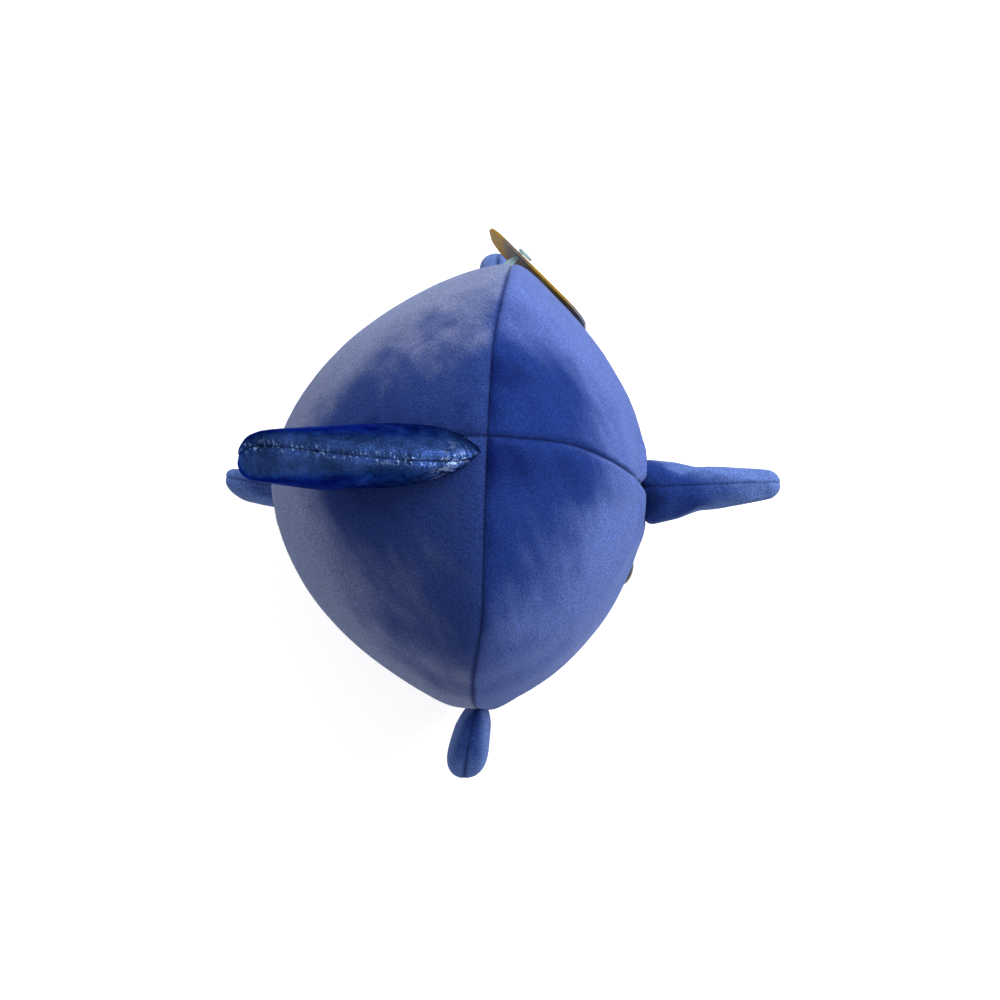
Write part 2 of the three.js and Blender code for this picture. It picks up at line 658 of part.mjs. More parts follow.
// The card and its loop. In their group +X runs along the card, +Y points out from the body and the
// loop passes through the origin.
function makeTag(facePanel, finTop) {
  const turn = rad(TAG_TURN);
  const outward = new THREE.Vector3(Math.sin(turn), Math.cos(turn), 0);
  const along = new THREE.Vector3(Math.cos(turn), -Math.sin(turn), 0);
  const corners = facePanel.attributes.position;
  let reach = 0;
  for (let i = 0; i < corners.count; i++) {
    reach = Math.max(reach, new THREE.Vector3().fromBufferAttribute(corners, i).dot(outward));
  }
  const loopLevel = finTop + TAG_FIN_CLEARANCE + TAG_HEIGHT - TAG_HOLE_DROP;
  const rise = (loopLevel - WIDEST_HEIGHT) / BODY_TOP_RISE;
  const seamSide = BODY_HALF_WIDTH * (1 - rise ** SEAM_ROUNDNESS) ** (1 / SEAM_ROUNDNESS);
  const seat = new THREE.Vector3(0, seamSide, loopLevel);
  const plane = reach + TAG_BODY_CLEARANCE + TAG_THICKNESS / 2;
  const group = new THREE.Group();
  group.position.copy(seat).addScaledVector(outward, plane - seat.dot(outward));
  group.rotation.z = -turn;

  const left = -TAG_HOLE_INSET;
  const right = TAG_WIDTH - TAG_HOLE_INSET;
  const bottom = TAG_HOLE_DROP - TAG_HEIGHT;
  const card = roundedOutline(left, right, bottom, TAG_HOLE_DROP, TAG_CORNER);
  const holeTop = LOOP_THICKNESS / 2 + TAG_HOLE_CLEARANCE;
  const hole = new THREE.Path();
  hole.absarc(0, holeTop - TAG_HOLE_RADIUS, TAG_HOLE_RADIUS, 0, 2 * Math.PI, true);
  card.holes.push(hole);
  const cardSolid = new THREE.ExtrudeGeometry(card, {
    depth: TAG_THICKNESS,
    bevelEnabled: false,
    curveSegments: 5,
  });
  cardSolid.rotateX(Math.PI / 2).translate(0, TAG_THICKNESS / 2, 0);
  group.add(namedMesh("hang_tag", cardSolid, finish(CARD_GOLD, 0.6)));

  const inward = outward.clone().negate();
  const distances = [-0.5, 0, 0.5].map((share) => {
    const start = group.position.clone().addScaledVector(along, share * LOOP_ROOT_WIDTH);
    return surfaceHits(facePanel, start, inward)[0]?.distance ?? Infinity;
  });
  const rootEnd = SEAT_GAP - Math.min(...distances);
  const neck = -TAG_THICKNESS / 2 - LOOP_BAR_CLEARANCE;
  const barLevel = TAG_THICKNESS / 2 + LOOP_BAR_CLEARANCE + LOOP_BAR_RADIUS;
  const strap = new THREE.Shape([
    new THREE.Vector2(-LOOP_ROOT_WIDTH / 2, rootEnd),
    new THREE.Vector2(LOOP_ROOT_WIDTH / 2, rootEnd),
    new THREE.Vector2(LOOP_NECK_WIDTH / 2, neck),
    new THREE.Vector2(LOOP_NECK_WIDTH / 2, barLevel),
    new THREE.Vector2(-LOOP_NECK_WIDTH / 2, barLevel),
    new THREE.Vector2(-LOOP_NECK_WIDTH / 2, neck),
  ]);
  const strapSolid = new THREE.ExtrudeGeometry(strap, { depth: LOOP_THICKNESS, bevelEnabled: false });
  strapSolid.translate(0, 0, -LOOP_THICKNESS / 2);
  const bar = cylinderAlongZ(LOOP_BAR_RADIUS, -LOOP_BAR_LENGTH / 2, LOOP_BAR_LENGTH / 2);
  bar.rotateY(Math.PI / 2).translate(LOOP_BAR_LENGTH / 4, barLevel, 0);
  const loop = fromSolid(toSolid(strapSolid).add(toSolid(bar)));
  group.add(namedMesh("tag_loop", loop, finish(LOOP_TEAL, 0.25)));
  return group;
}

function roundedOutline(left, right, bottom, top, radius) {
  const shape = new THREE.Shape();
  shape.absarc(right - radius, top - radius, radius, 0, Math.PI / 2);
  shape.absarc(left + radius, top - radius, radius, Math.PI / 2, Math.PI);
  shape.absarc(left + radius, bottom + radius, radius, Math.PI, 1.5 * Math.PI);
  shape.absarc(right - radius, bottom + radius, radius, 1.5 * Math.PI, 2 * Math.PI);
  return shape;
}

// The four panels and the stuffing, with the front panels and the stuffing cut for the eyes
function makeBody() {
  const group = new THREE.Group();
  const left = setEye(1, bodyPanel(FRONT, 1), bodyCore());
  const right = setEye(-1, bodyPanel(FRONT, -1), left.core);
  group.add(namedMesh("front_left_panel", left.panel, finish(FRONT_BLUE, 0.9)));
  group.add(namedMesh("front_right_panel", right.panel, finish(FRONT_BLUE, 0.9)));
  group.add(namedMesh("back_left_panel", bodyPanel(BACK, 1), finish(BACK_BLUE, 0.9)));
  group.add(namedMesh("back_right_panel", bodyPanel(BACK, -1), finish(BACK_BLUE, 0.9)));
  group.add(namedMesh("body_stuffing", right.core, finish(FIBREFILL_WHITE, 1)));
  group.add(left.frame, right.frame);
  return group;
}

const swordfish = new THREE.Group();
const body = makeBody();
const leftFin = makeSideFin("left_fin", 1, LEFT_FIN_DROOP, LEFT_FIN_SWEEP);
const rightFin = makeSideFin("right_fin", -1, RIGHT_FIN_DROOP, RIGHT_FIN_SWEEP);
const leftFinTop = new THREE.Box3().setFromObject(leftFin).max.z;
const tag = makeTag(body.getObjectByName("front_left_panel").geometry, leftFinTop);
swordfish.add(body, makeBill(), makeDorsalFin(), makeTail(), leftFin, rightFin, tag);

export default swordfish;
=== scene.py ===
"""A ball-shaped stuffed swordfish in blue velour, with a shiny dorsal fin, a soft bill and a blank hang tag.

Metres, +Z up, +X towards the bill, +Y to the toy's left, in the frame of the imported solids.
Each stuffed form is a closed skin of sewn panels. The skin is swollen by a cloth simulation, smoothed,
drawn in along its seams and split into panels of real fabric thickness, round a core of fibrefill.
"""
import json
import math
from dataclasses import dataclass

import bpy
import numpy as np
from bpy.props import FloatProperty, FloatVectorProperty, IntProperty, PointerProperty
from mathutils import Matrix, Vector, kdtree, noise


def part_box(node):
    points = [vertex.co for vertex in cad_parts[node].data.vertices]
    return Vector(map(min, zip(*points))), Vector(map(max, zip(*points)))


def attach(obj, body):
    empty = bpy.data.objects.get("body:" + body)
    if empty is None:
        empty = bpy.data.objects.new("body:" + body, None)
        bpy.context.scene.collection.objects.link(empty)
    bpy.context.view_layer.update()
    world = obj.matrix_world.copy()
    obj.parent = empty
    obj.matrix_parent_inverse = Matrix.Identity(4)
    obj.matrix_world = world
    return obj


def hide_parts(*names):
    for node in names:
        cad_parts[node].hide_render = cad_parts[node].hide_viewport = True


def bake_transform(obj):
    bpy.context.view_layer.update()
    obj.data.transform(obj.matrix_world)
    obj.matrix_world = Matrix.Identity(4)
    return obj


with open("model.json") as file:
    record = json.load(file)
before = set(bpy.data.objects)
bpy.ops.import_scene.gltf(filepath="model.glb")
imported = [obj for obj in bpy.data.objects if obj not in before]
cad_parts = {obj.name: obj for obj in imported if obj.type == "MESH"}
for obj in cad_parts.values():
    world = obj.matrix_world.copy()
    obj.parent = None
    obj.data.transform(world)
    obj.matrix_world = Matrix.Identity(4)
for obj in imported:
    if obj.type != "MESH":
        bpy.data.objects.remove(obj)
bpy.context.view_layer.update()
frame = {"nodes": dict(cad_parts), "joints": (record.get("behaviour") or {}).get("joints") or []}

bl_info = {
    "name": "Plush swordfish",
    "version": (1, 0, 0),
    "blender": (4, 5, 0),
    "location": "3D View > Sidebar > Plush",
    "description": "Dresses a packed swordfish in velour, foil fabric, fibrefill, eyes and a hang tag",
    "category": "Object",
}

MM = 0.001
JOINTS = {joint["name"]: joint for joint in frame["joints"]}
BODY_LOW, BODY_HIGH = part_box("back_left_panel")
# How near a point has to be to lie on a seam, and a turn that is small enough to find a tangent
HAIR = 0.1 * MM
SMALL_TURN = 1e-3


# Properties

def length(label, millimetres, words):
    """A length, written in millimetres."""
    return FloatProperty(name=label, description=words, default=millimetres * MM, unit="LENGTH", precision=4)


def angle(label, degrees, words):
    """An angle, written in degrees."""
    return FloatProperty(name=label, description=words, default=math.radians(degrees), unit="ROTATION")


def power(label, watts, words):
    """The power of a light."""
    return FloatProperty(name=label, description=words, default=watts, unit="POWER")


def number(label, value, words):
    """A plain number."""
    return FloatProperty(name=label, description=words, default=value)


def count(label, value, words):
    """A whole number."""
    return IntProperty(name=label, description=words, default=value, min=1)


def colour(label, value, words):
    """A colour in linear light."""
    return FloatVectorProperty(name=label, description=words, default=value, subtype="COLOR", min=0, max=1)


def place(label, millimetres, words):
    """A point, written in millimetres."""
    default = tuple(MM * v for v in millimetres)
    return FloatVectorProperty(name=label, description=words, default=default, subtype="TRANSLATION")


class FabricSettings(bpy.types.PropertyGroup):
    thickness: length("Thickness", 1.6, "Fabric with its pile")
    gap: length("Gap", 0.3, "Between fabric and stuffing")
    pressure: number("Pressure", 4.0, "Pressure of the stuffing in the cloth simulation")
    allowance: length("Allowance", 1.0, "How far a skin is drawn in between its seams before it swells")
    slack_reach: length("Slack reach", 12, "How far from a seam the allowance builds up")
    body_cap: length("Body cap", 2.6, "The farthest that a point of the body may swell")
    limb_cap: length("Limb cap", 1.0, "The farthest that a point of a limb may swell")
    frames: count("Frames", 20, "Length of the cloth simulation")
    lump_size: length("Lump size", 34, "Size of the soft lumps of stuffing")
    lump_height: length("Lump height", 0.55, "Height of the soft lumps of stuffing")


class BodyShape(bpy.types.PropertyGroup):
    half_width: length("Half width", BODY_HIGH.y / MM, "Middle to the side corner of the upright seam")
    widest_height: length("Widest height", 88.5, "Floor to the widest level")
    top_rise: length("Top rise", BODY_HIGH.z / MM - 88.5, "Widest level to the top of the upright seam")
    bottom_drop: length("Bottom drop", 104, "Widest level to the bottom, before the toy sits on it")
    roundness: number("Roundness", 1.95, "2 would make the upright seam an ellipse")
    front_depth: length("Front depth", 62, "Upright seam to the front of the face")
    front_fullness: number("Front fullness", 1.28, "2 would make the front an ellipsoid")
    back_depth: length("Back depth", -BODY_LOW.x / MM, "Upright seam to the middle of the back")
    back_fullness: number("Back fullness", 1.375, "2 would make the back an ellipsoid")
    sole_softness: length("Sole softness", 3, "How gently the sides round into the sole")
    sole_cut: length("Sole cut", 0.5, "How deep the sole is pressed flat")
    socket_radius: length("Socket radius", 13.2, "Hollow that the bill's root is sewn into")
    socket_depth: length("Socket depth", 6.5, "Depth of the hollow")
    lip_height: length("Lip height", 1.4, "Puffed collar round the bill")
    lip_radius: length("Lip radius", 16, "Middle of the collar")
    lip_width: length("Lip width", 5, "Half width of the collar")
    pinch_depth: length("Pinch depth", 2.2, "How far the middle seam draws the collar in")
    pinch_width: length("Pinch width", 2.6, "Half width of that pinch")
    valley_depth: length("Valley depth", 0.5, "Hollow behind the collar")
    valley_radius: length("Valley radius", 23.5, "Middle of the hollow behind the collar")
    fold_height: length("Fold height", 0.75, "Soft folds that run out from the collar")
    fold_reach: length("Fold reach", 70, "How far the folds run over the face")
    upright_stray: length("Upright stray", 4, "How far the upright seam bends forwards by the tag")
    corner_stray: length("Corner stray", 4, "How far the upright seam bends backwards above the right fin")
    corner_tuck: length("Corner tuck", 2.2, "How far that corner is blunted")
    middle_stray: length("Middle stray", 2.7, "How far the middle seam bends to the left above the bill")
    around: count("Steps around", 128, "Points on each hoop of the coarse skin")
    rings: count("Rings", 10, "Hoops between the collar and the upright seam")
    gathering: number("Gathering", 0.5, "How far the points draw together at the middle seam")


class BillShape(bpy.types.PropertyGroup):
    root_radius: length("Root radius", 12, "Radius at the root")
    tip_radius: length("Tip radius", 6, "Radius at the tip")
    span: length("Length", 46, "Centre of the round root to the tip")
    skirt: length("Skirt", 5.5, "How far the bill runs back past its hinge to the collar")
    flare: length("Flare", 0.4, "How much the skirt widens into the collar")
    yaw: angle("Yaw", 4.5, "To the toy's left")
    pitch: angle("Pitch", 8, "Upwards")
    around: count("Steps around", 32, "Points on each hoop of the coarse skin")


class DorsalShape(bpy.types.PropertyGroup):
    front_angle: angle("Front angle", 87, "Front end of the root, above the widest level, round the back")
    rear_angle: angle("Rear angle", 37, "Rear end of the root")
    side_shift: length("Side shift", 4, "The root lies this far to the right of the middle seam")
    flop: length("Flop", 7.5, "The free edge leans this far to the right")
    overhang: length("Overhang", 18.5, "Tip behind the rear end of the root")
    tip_rise: length("Tip rise", 49, "Tip above the rear end of the root")
    tip_chord: length("Tip chord", 10, "Width of the blunt tip")
    root_half: length("Root half", 12, "Half thickness near the root")
    tip_half: length("Tip half", 8, "Half thickness near the tip")
    tip_taper: length("Tip taper", 10, "How gently the tip rounds off")
    seam_wander: length("Seam wander", 11, "How far the seam strays, right to left, root to tip")
    seam_lift: length("Seam lift", 5, "How far the seam turns back to the left at the very root")
    seam_slide: number("Seam slide", 3.1, "Steps that the seam slides round the front edge, root to tip")
    slide_middle: number("Slide middle", 0.67, "Share of the fin's length where the seam lies on its edge")
    # Middle of a painted highlight on the foil, at the front of the root
    bright_patch: place("Bright patch", (-13, -11, 189), "Middle of the brightest creases")
    # Middle of a shadow painted on the back's velour under the fin
    crushed_nap: place("Crushed nap", (-45, -10, 158), "Where the fin presses the back's pile dark")
    crumple: length("Crumple", 0.3, "Height of the creases at the front of the root")
    nose: number("Nose", 0.45, "How sharply the front of the root comes to a point")
    root_radius: length("Root radius", 6.5, "How gently the root rounds into the body")


class TailShape(bpy.types.PropertyGroup):
    top_angle: angle("Top angle", -7, "Top of the root, above the widest level, round the back")
    bottom_angle: angle("Bottom angle", -22, "Bottom of the root")
    span: length("Length", 30, "Root to tip")
    upper_spread: length("Upper spread", 8, "Upper lobe above the top of the root")
    lower_spread: length("Lower spread", 13, "Lower lobe below the bottom of the root")
    lean: length("Lean", 3.5, "The tip leans this far to the left")
    notch: length("Notch", 2.5, "Depth of the fork")
    root_half: length("Root half", 8, "Half thickness near the root")
    tip_half: length("Tip half", 6, "Half thickness near the tip")
    tip_taper: length("Tip taper", 5, "How gently the tip rounds off")
    root_radius: length("Root radius", 6, "How gently the root rounds into the body")


class SideFinShape(bpy.types.PropertyGroup):
    top_angle: angle("Top angle", 97, "Top of the root, from the top of the upright seam")
    bottom_angle: angle("Bottom angle", 114, "Bottom of the root")
    span: length("Length", 31.5, "Root to tip")
    left_droop: length("Left droop", 15, "Left tip below the middle of its root")
    right_droop: length("Right droop", 9, "Right tip below the middle of its root")
    left_sweep: length("Left sweep", 1, "Left tip behind its root")
    right_sweep: length("Right sweep", 6, "Right tip behind its root")
    tip_chord: length("Tip chord", 9, "Width of the tip")
    swell: length("Swell", 4, "How far each edge swells past a straight line")
    setback: length("Setback", 3, "Root behind the upright seam")
    root_half: length("Root half", 6.3, "Half thickness near the root")
    tip_half: length("Tip half", 11, "Half thickness near the tip")
    tip_taper: length("Tip taper", 16, "How gently the tip rounds off")
    root_radius: length("Root radius", 7, "How gently the root rounds into the body")


class LimbFinish(bpy.types.PropertyGroup):
    fullness: number("Fullness", 0.36, "0.5 would make a limb's section an ellipse, less makes it plumper")
    tuck: length("Tuck", 1.5, "How deep a limb's root is tucked into the body")
    steps: count("Steps", 16, "Cells along each side of a fin's coarse skin")


class BodySeam(bpy.types.PropertyGroup):
    groove_depth: length("Groove depth", 0.45, "How far a seam draws the fabric in")
    groove_width: length("Groove width", 1.0, "How wide a seam draws the fabric in")
    pucker_height: length("Pucker height", 0.35, "Height of the broad waves beside the seam")
    pucker_pitch: length("Pucker pitch", 31, "Broad waves along the seam")
    pucker_reach: length("Pucker reach", 14, "How far the waves run from the seam")


class LimbSeam(bpy.types.PropertyGroup):
    groove_depth: length("Groove depth", 0.35, "How far a seam draws the fabric in")
    groove_width: length("Groove width", 0.7, "How wide a seam draws the fabric in")
    pucker_height: length("Pucker height", 0.04, "Height of the puckers beside the seam")
    pucker_pitch: length("Pucker pitch", 5, "Puckers along the seam")
    pucker_reach: length("Pucker reach", 2, "How far the puckers run from the seam")


class FoilSeam(bpy.types.PropertyGroup):
    groove_depth: length("Groove depth", 0.7, "How far a seam draws the fabric in")
    groove_width: length("Groove width", 1.0, "How wide a seam draws the fabric in")
    pucker_height: length("Pucker height", 0.26, "Height of the puckers beside the seam")
    pucker_pitch: length("Pucker pitch", 3.1, "Puckers along the seam, one to a stitch")
    pucker_reach: length("Pucker reach", 1.5, "How far the puckers run from the seam")


class EyeShape(bpy.types.PropertyGroup):
    radius: length("Radius", 6, "Radius of the dome")
    height: length("Height", 3, "Height of the dome")
    shank_radius: length("Shank radius", 2, "Radius of the shank")
    dimple_depth: length("Dimple depth", 0.4, "How far the eye presses the fabric in")
    dimple_radius: length("Dimple radius", 8, "How wide the eye presses the fabric in")
    around: count("Steps around", 48, "Points on each hoop")


class TagShape(bpy.types.PropertyGroup):
    width: length("Width", 57, "Length of the card's top edge")
    height: length("Height", 30, "Height of the card")
    thickness: length("Thickness", 1, "Both leaves of the folded card")
    leaf: length("Leaf", 0.44, "One leaf of the card")
    corner: length("Corner", 10, "Radius of the card's corners")
    hole_radius: length("Hole radius", 2, "Hole for the loop")
    hole_inset: length("Hole inset", 18, "Loop to the card's rear edge")
    hole_drop: length("Hole drop", 3.7, "Card's top edge to the loop")
    hole_clearance: length("Hole clearance", 0.7, "Loop to the top of the hole")
    loop_thickness: length("Loop thickness", 0.8, "Thickness of the plastic loop")
    loop_root_width: length("Loop root width", 3.6, "Width of the loop at the seam")
    loop_neck_width: length("Loop neck width", 2, "Width of the loop in the hole")
    bar_radius: length("Bar radius", 0.7, "Cross bar that holds the card")
    bar_length: length("Bar length", 7, "Cross bar that holds the card")
    bar_stand: length("Bar stand", 2.2, "Cross bar out from the card's hinge")
    tilt: angle("Tilt", 4.5, "The card's foot rests this far out from upright")


class Colours(bpy.types.PropertyGroup):
    # Each velour's deep and pale colours end its ramp, which also carries painted sheen, light and shade
    front_deep: colour("Front deep", (0.004, 0.014, 0.15), "Front velour, brushed dark")
    front_mid: colour("Front mid", (0.021, 0.061, 0.34), "Front velour")
    front_pale: colour("Front pale", (0.19, 0.29, 0.84), "Front velour, brushed pale")
    back_deep: colour("Back deep", (0.009, 0.032, 0.21), "Back velour, brushed dark")
    back_mid: colour("Back mid", (0.042, 0.090, 0.39), "Back velour")
    back_pale: colour("Back pale", (0.36, 0.43, 0.77), "Back velour, brushed pale")
    limb_deep: colour("Limb deep", (0.006, 0.020, 0.12), "Bill and fin velour, brushed dark")
    limb_mid: colour("Limb mid", (0.030, 0.077, 0.38), "Bill and fin velour")
    limb_pale: colour("Limb pale", (0.21, 0.35, 0.90), "Bill and fin velour, brushed pale")
    sheen: colour("Sheen", (0.55, 0.66, 1.0), "Light caught by the pile")
    foil_deep: colour("Foil deep", (0.009, 0.024, 0.085), "Foil fabric, dark")
    foil_bright: colour("Foil bright", (0.036, 0.080, 0.28), "Foil fabric, bright")
    foil_edge: colour("Foil edge", (0.06, 0.20, 0.55), "Foil fabric, seen from the side")
    # Pale flecks painted beside the seam in place of glints: a painted highlight
    foil_rubbed: colour("Foil rubbed", (0.20, 0.32, 0.58), "Foil fabric, rubbed bright beside the seam")
    # A painted highlight at the front of the fin's root
    foil_bare: colour("Foil bare", (0.40, 0.54, 0.82), "Foil fabric, creased bright at its root")
    fibrefill: colour("Fibrefill", (0.86, 0.85, 0.82), "Stuffing")
    eye: colour("Eye", (0.004, 0.004, 0.005), "Safety eyes")
    washer: colour("Washer", (0.78, 0.78, 0.74), "Locking washers")
    # Plain colours of the card's bands along its length
    card_gold: colour("Card gold", (0.62, 0.35, 0.025), "Gilded end of the card")
    card_dark: colour("Card dark", (0.33, 0.25, 0.18), "Dark band of the card")
    card_grey: colour("Card grey", (0.42, 0.43, 0.44), "Silvered end of the card")
    loop: colour("Loop", (0.50, 0.74, 0.78), "Plastic loop")
    floor: colour("Floor", (0.80, 0.795, 0.79), "Floor")


class StageSettings(bpy.types.PropertyGroup):
    look_from: place("Look from", (16.0, -93.5, 599.8), "Camera")
    look_at: place("Look at", (0, 0, 88.5), "Point that the camera faces")
    roll: angle("Roll", -2.12, "Turn of the camera about its line of sight")
    lens: number("Lens", 45.4, "Focal length on a 36 mm wide sensor, in millimetres")
    shift_x: number("Shift right", 0.0048, "Sideways shift of the picture")
    shift_y: number("Shift up", -0.0097, "Upward shift of the picture")
    key_power: power("Key power", 11.0, "Main soft light")
    fill_power: power("Fill power", 2.0, "Soft light from the back")
    glint_power: power("Glint power", 6.0, "Small lamp from the right, for the shine alone")
    surround: number("Surround", 0.34, "Even light from all round")
    floor_glow: number("Floor glow", 0.74, "Lifts the floor to white for the camera alone")


class PlushSettings(bpy.types.PropertyGroup):
    fabric: PointerProperty(type=FabricSettings)
    body: PointerProperty(type=BodyShape)
    bill: PointerProperty(type=BillShape)
    dorsal: PointerProperty(type=DorsalShape)
    tail: PointerProperty(type=TailShape)
    side_fin: PointerProperty(type=SideFinShape)
    limb: PointerProperty(type=LimbFinish)
    body_seam: PointerProperty(type=BodySeam)
    limb_seam: PointerProperty(type=LimbSeam)
    foil_seam: PointerProperty(type=FoilSeam)
    eye: PointerProperty(type=EyeShape)
    tag: PointerProperty(type=TagShape)
    colours: PointerProperty(type=Colours)
    stage: PointerProperty(type=StageSettings)


def settings():
    """The sizes and colours in use."""
    return bpy.context.scene.plush_swordfish


# Small helpers

def bell(value, reach):
    """1 at zero, falling off smoothly on both sides."""
    return np.exp(-((value / reach) ** 2))


def eased(value, low, high):
    """0 below a low value and 1 above a high one, smooth between."""
    share = np.clip((value - low) / (high - low), 0, 1)
    return share * share * (3 - 2 * share)


def vertex_array(mesh):
    """A mesh's points, one row each."""
    flat = np.empty(3 * len(mesh.vertices))
    mesh.vertices.foreach_get("co", flat)
    return flat.reshape(-1, 3)


def evaluated(piece):
    """A piece with its modifiers in force."""
    return piece.evaluated_get(bpy.context.evaluated_depsgraph_get())


def point_tree(points, chosen):
    """A search tree of the chosen points."""
    tree = kdtree.KDTree(len(chosen))
    for point in chosen:
        tree.insert(points[point], int(point))
    tree.balance()
    return tree


# Skins

@dataclass
class Skin:
    """A closed skin: its points, its faces, the panel of each face and the points that stay put."""
    points: np.ndarray
    faces: list
    panels: list
    held: np.ndarray


def turned_out(points, faces):
    """The faces, all turned round if they face inwards."""
    volume = 0.0
    for face in faces:
        a, b, c = (points[i] for i in face[:3])
        volume += float(np.dot(a, np.cross(b, c)))
        if len(face) == 4:
            volume += float(np.dot(a, np.cross(c, points[face[3]])))
    return faces if volume > 0 else [tuple(reversed(face)) for face in faces]


def one_panel(hoop, step):
    """The panel of each face of a skin without seams."""
    return 0


def none_held(points):
    """The hold on each point of a skin that is free all over."""
    return np.zeros(len(points))


def hooped_skin(start, hoops, end, panel_of=one_panel, held=none_held):
    """A closed skin from one end point, over hoops of points, to another end point."""
    around = len(hoops[0])
    points = np.vstack([start, *hoops, end])
    last = len(points) - 1
    faces = []
    panels = []
    for step in range(around):
        ahead = (step + 1) % around
        faces.append((0, 1 + step, 1 + ahead))
        panels.append(panel_of(-1, step))
        for hoop in range(len(hoops) - 1):
            near = 1 + hoop * around
            far = near + around
            faces.append((near + step, far + step, far + ahead, near + ahead))
            panels.append(panel_of(hoop, step))
        near = 1 + (len(hoops) - 1) * around
        faces.append((near + step, last, near + ahead))
        panels.append(panel_of(len(hoops) - 1, step))
    return Skin(points, turned_out(points, faces), panels, held(points))


# Steps over which a seam that slides takes its neighbours along
SLIDE_REACH = 5


def slid_hoop(hoop, slide):
    """A hoop of points, of which those near the first slide back along the hoop by a number of steps."""
    size = len(hoop)
    step = np.arange(size)
    from_first = np.minimum(step, size - step)
    at = step - slide * bell(from_first, SLIDE_REACH)
    base = np.floor(at).astype(int)
    share = (at - base)[:, None]
    before, here, ahead, beyond = (hoop[(base + k) % size] for k in (-1, 0, 1, 2))
    bend = 2 * before - 5 * here + 4 * ahead - beyond
    twist = 3 * (here - ahead) + beyond - before
    return here + share / 2 * (ahead - before + share * (bend + share * twist))


# The most that a margin takes off each side of a pad, and the hoops that hold its root fast
WIDEST_MARGIN = 0.45
HELD_HOOPS = 2


def pad_skin(middle, half, across, steps, rounding, margin=0.0, slide=None):
    """A closed pad of two panels that share a seam, about a middle surface over t and c from 0 to 1.

    It is laid in hoops from its root to its tip, and its tip is rounded off over a share of its length.
    The seam may slide round its first edge."""
    shares = (1 - np.cos(np.pi * np.arange(steps + 1) / steps)) / 2
    centre_line = middle(np.array([[0.0], [1.0]]), np.array([[0.5]]))[:, 0]
    span = np.linalg.norm(centre_line[1] - centre_line[0])
    t = (margin / span + (1 - 2 * margin / span) * shares)[:, None]
    edges = middle(t, np.array([[0.0, 1.0]]))
    width = np.linalg.norm(edges[:, 1] - edges[:, 0], axis=-1, keepdims=True)
    inside = np.minimum(WIDEST_MARGIN, margin / width)
    c = inside + (1 - 2 * inside) * shares[None, :]
    narrowed = np.sqrt(1 - np.maximum(0, 1 - (1 - t) / rounding) ** 2)
    centre = middle(t, 0.5 + (c - 0.5) * narrowed)
    lift = half(t, c)[..., None] * np.asarray(across)
    one_side = centre + lift
    other_side = centre - lift
    hoops = [np.vstack([one_side[i], other_side[i, -2:0:-1]]) for i in range(1, steps)]
    if slide:
        hoops = [slid_hoop(hoop, slide(float(at))) for hoop, at in zip(hoops, t[1:, 0])]
    ends = middle(t[[0, -1]], np.array([[0.5]]))

    def panel_of(hoop, step):
        return 0 if step < steps else 1

    def root_held(points):
        return (np.arange(len(points)) < 1 + HELD_HOOPS * 2 * steps).astype(float)

    return hooped_skin(ends[0, 0], hoops, ends[1, 0], panel_of, root_held)


def new_object(name, data):
    """A new object in the scene."""
    piece = bpy.data.objects.new(name, data)
    bpy.context.scene.collection.objects.link(piece)
    return piece


def mesh_of(name, points, faces):
    """A new mesh from points and faces."""
    mesh = bpy.data.meshes.new(name)
    mesh.from_pydata([tuple(p) for p in points], [], [tuple(int(i) for i in f) for f in faces])
    mesh.update()
    return mesh


def discard(piece):
    """Deletes an object and its mesh."""
    mesh = piece.data
    bpy.data.objects.remove(piece)
    bpy.data.meshes.remove(mesh)


def draw_in(mesh, held, fabric, share):
    """Draws a skin in between its held points, so that it swells back to about its own size."""
    points = vertex_array(mesh)
    tree = point_tree(points, np.flatnonzero(held))
    away = np.array([tree.find(point)[2] for point in points])
    normals = np.empty(points.size)
    mesh.vertex_normals.foreach_get("vector", normals)
    depth = share * fabric.allowance * (1 - bell(away, fabric.slack_reach))
    mesh.vertices.foreach_set("co", (points - normals.reshape(-1, 3) * depth[:, None]).ravel())
    mesh.update()


def swell(piece, held, fabric, cap):
    """Swells a closed skin with the pressure of its stuffing, and keeps the result in its mesh."""
    sewn = piece.vertex_groups.new(name="sewn")
    for point in np.flatnonzero(held):
        sewn.add([int(point)], float(held[point]), "REPLACE")
    cloth = piece.modifiers.new("stuffing", "CLOTH")
    settings = cloth.settings
    settings.quality = 6
    settings.mass = 0.2
    settings.tension_stiffness = 12
    settings.compression_stiffness = 12
    settings.shear_stiffness = 6
    settings.bending_stiffness = 0.4
    settings.use_pressure = True
    settings.uniform_pressure_force = fabric.pressure
    settings.vertex_group_mass = sewn.name
    settings.shrink_min = -0.012
    settings.effector_weights.gravity = 0
    cloth.collision_settings.use_collision = False
    cloth.point_cache.frame_start = 1
    cloth.point_cache.frame_end = fabric.frames
    scene = bpy.context.scene
    for moment in range(1, fabric.frames + 1):
        scene.frame_set(moment)
    swollen = evaluated(piece)
    before = vertex_array(piece.data)
    moved = vertex_array(swollen.data) - before
    size = np.linalg.norm(moved, axis=1, keepdims=True)
    moved *= np.minimum(1, cap / np.maximum(size, 1e-9))
    piece.modifiers.remove(cloth)
    scene.frame_set(1)
    piece.data.vertices.foreach_set("co", (before + moved).ravel())
    piece.data.update()


def crease_seams(mesh, sharpness):
    """Keeps the ridge of each seam when the skin is smoothed."""
    sides = {}
    for face in mesh.polygons:
        for edge in face.edge_keys:
            sides.setdefault(edge, set()).add(face.material_index)
    crease = mesh.attributes.new("crease_edge", "FLOAT", "EDGE")
    for edge in mesh.edges:
        crease.data[edge.index].value = sharpness if len(sides[edge.key]) > 1 else 0


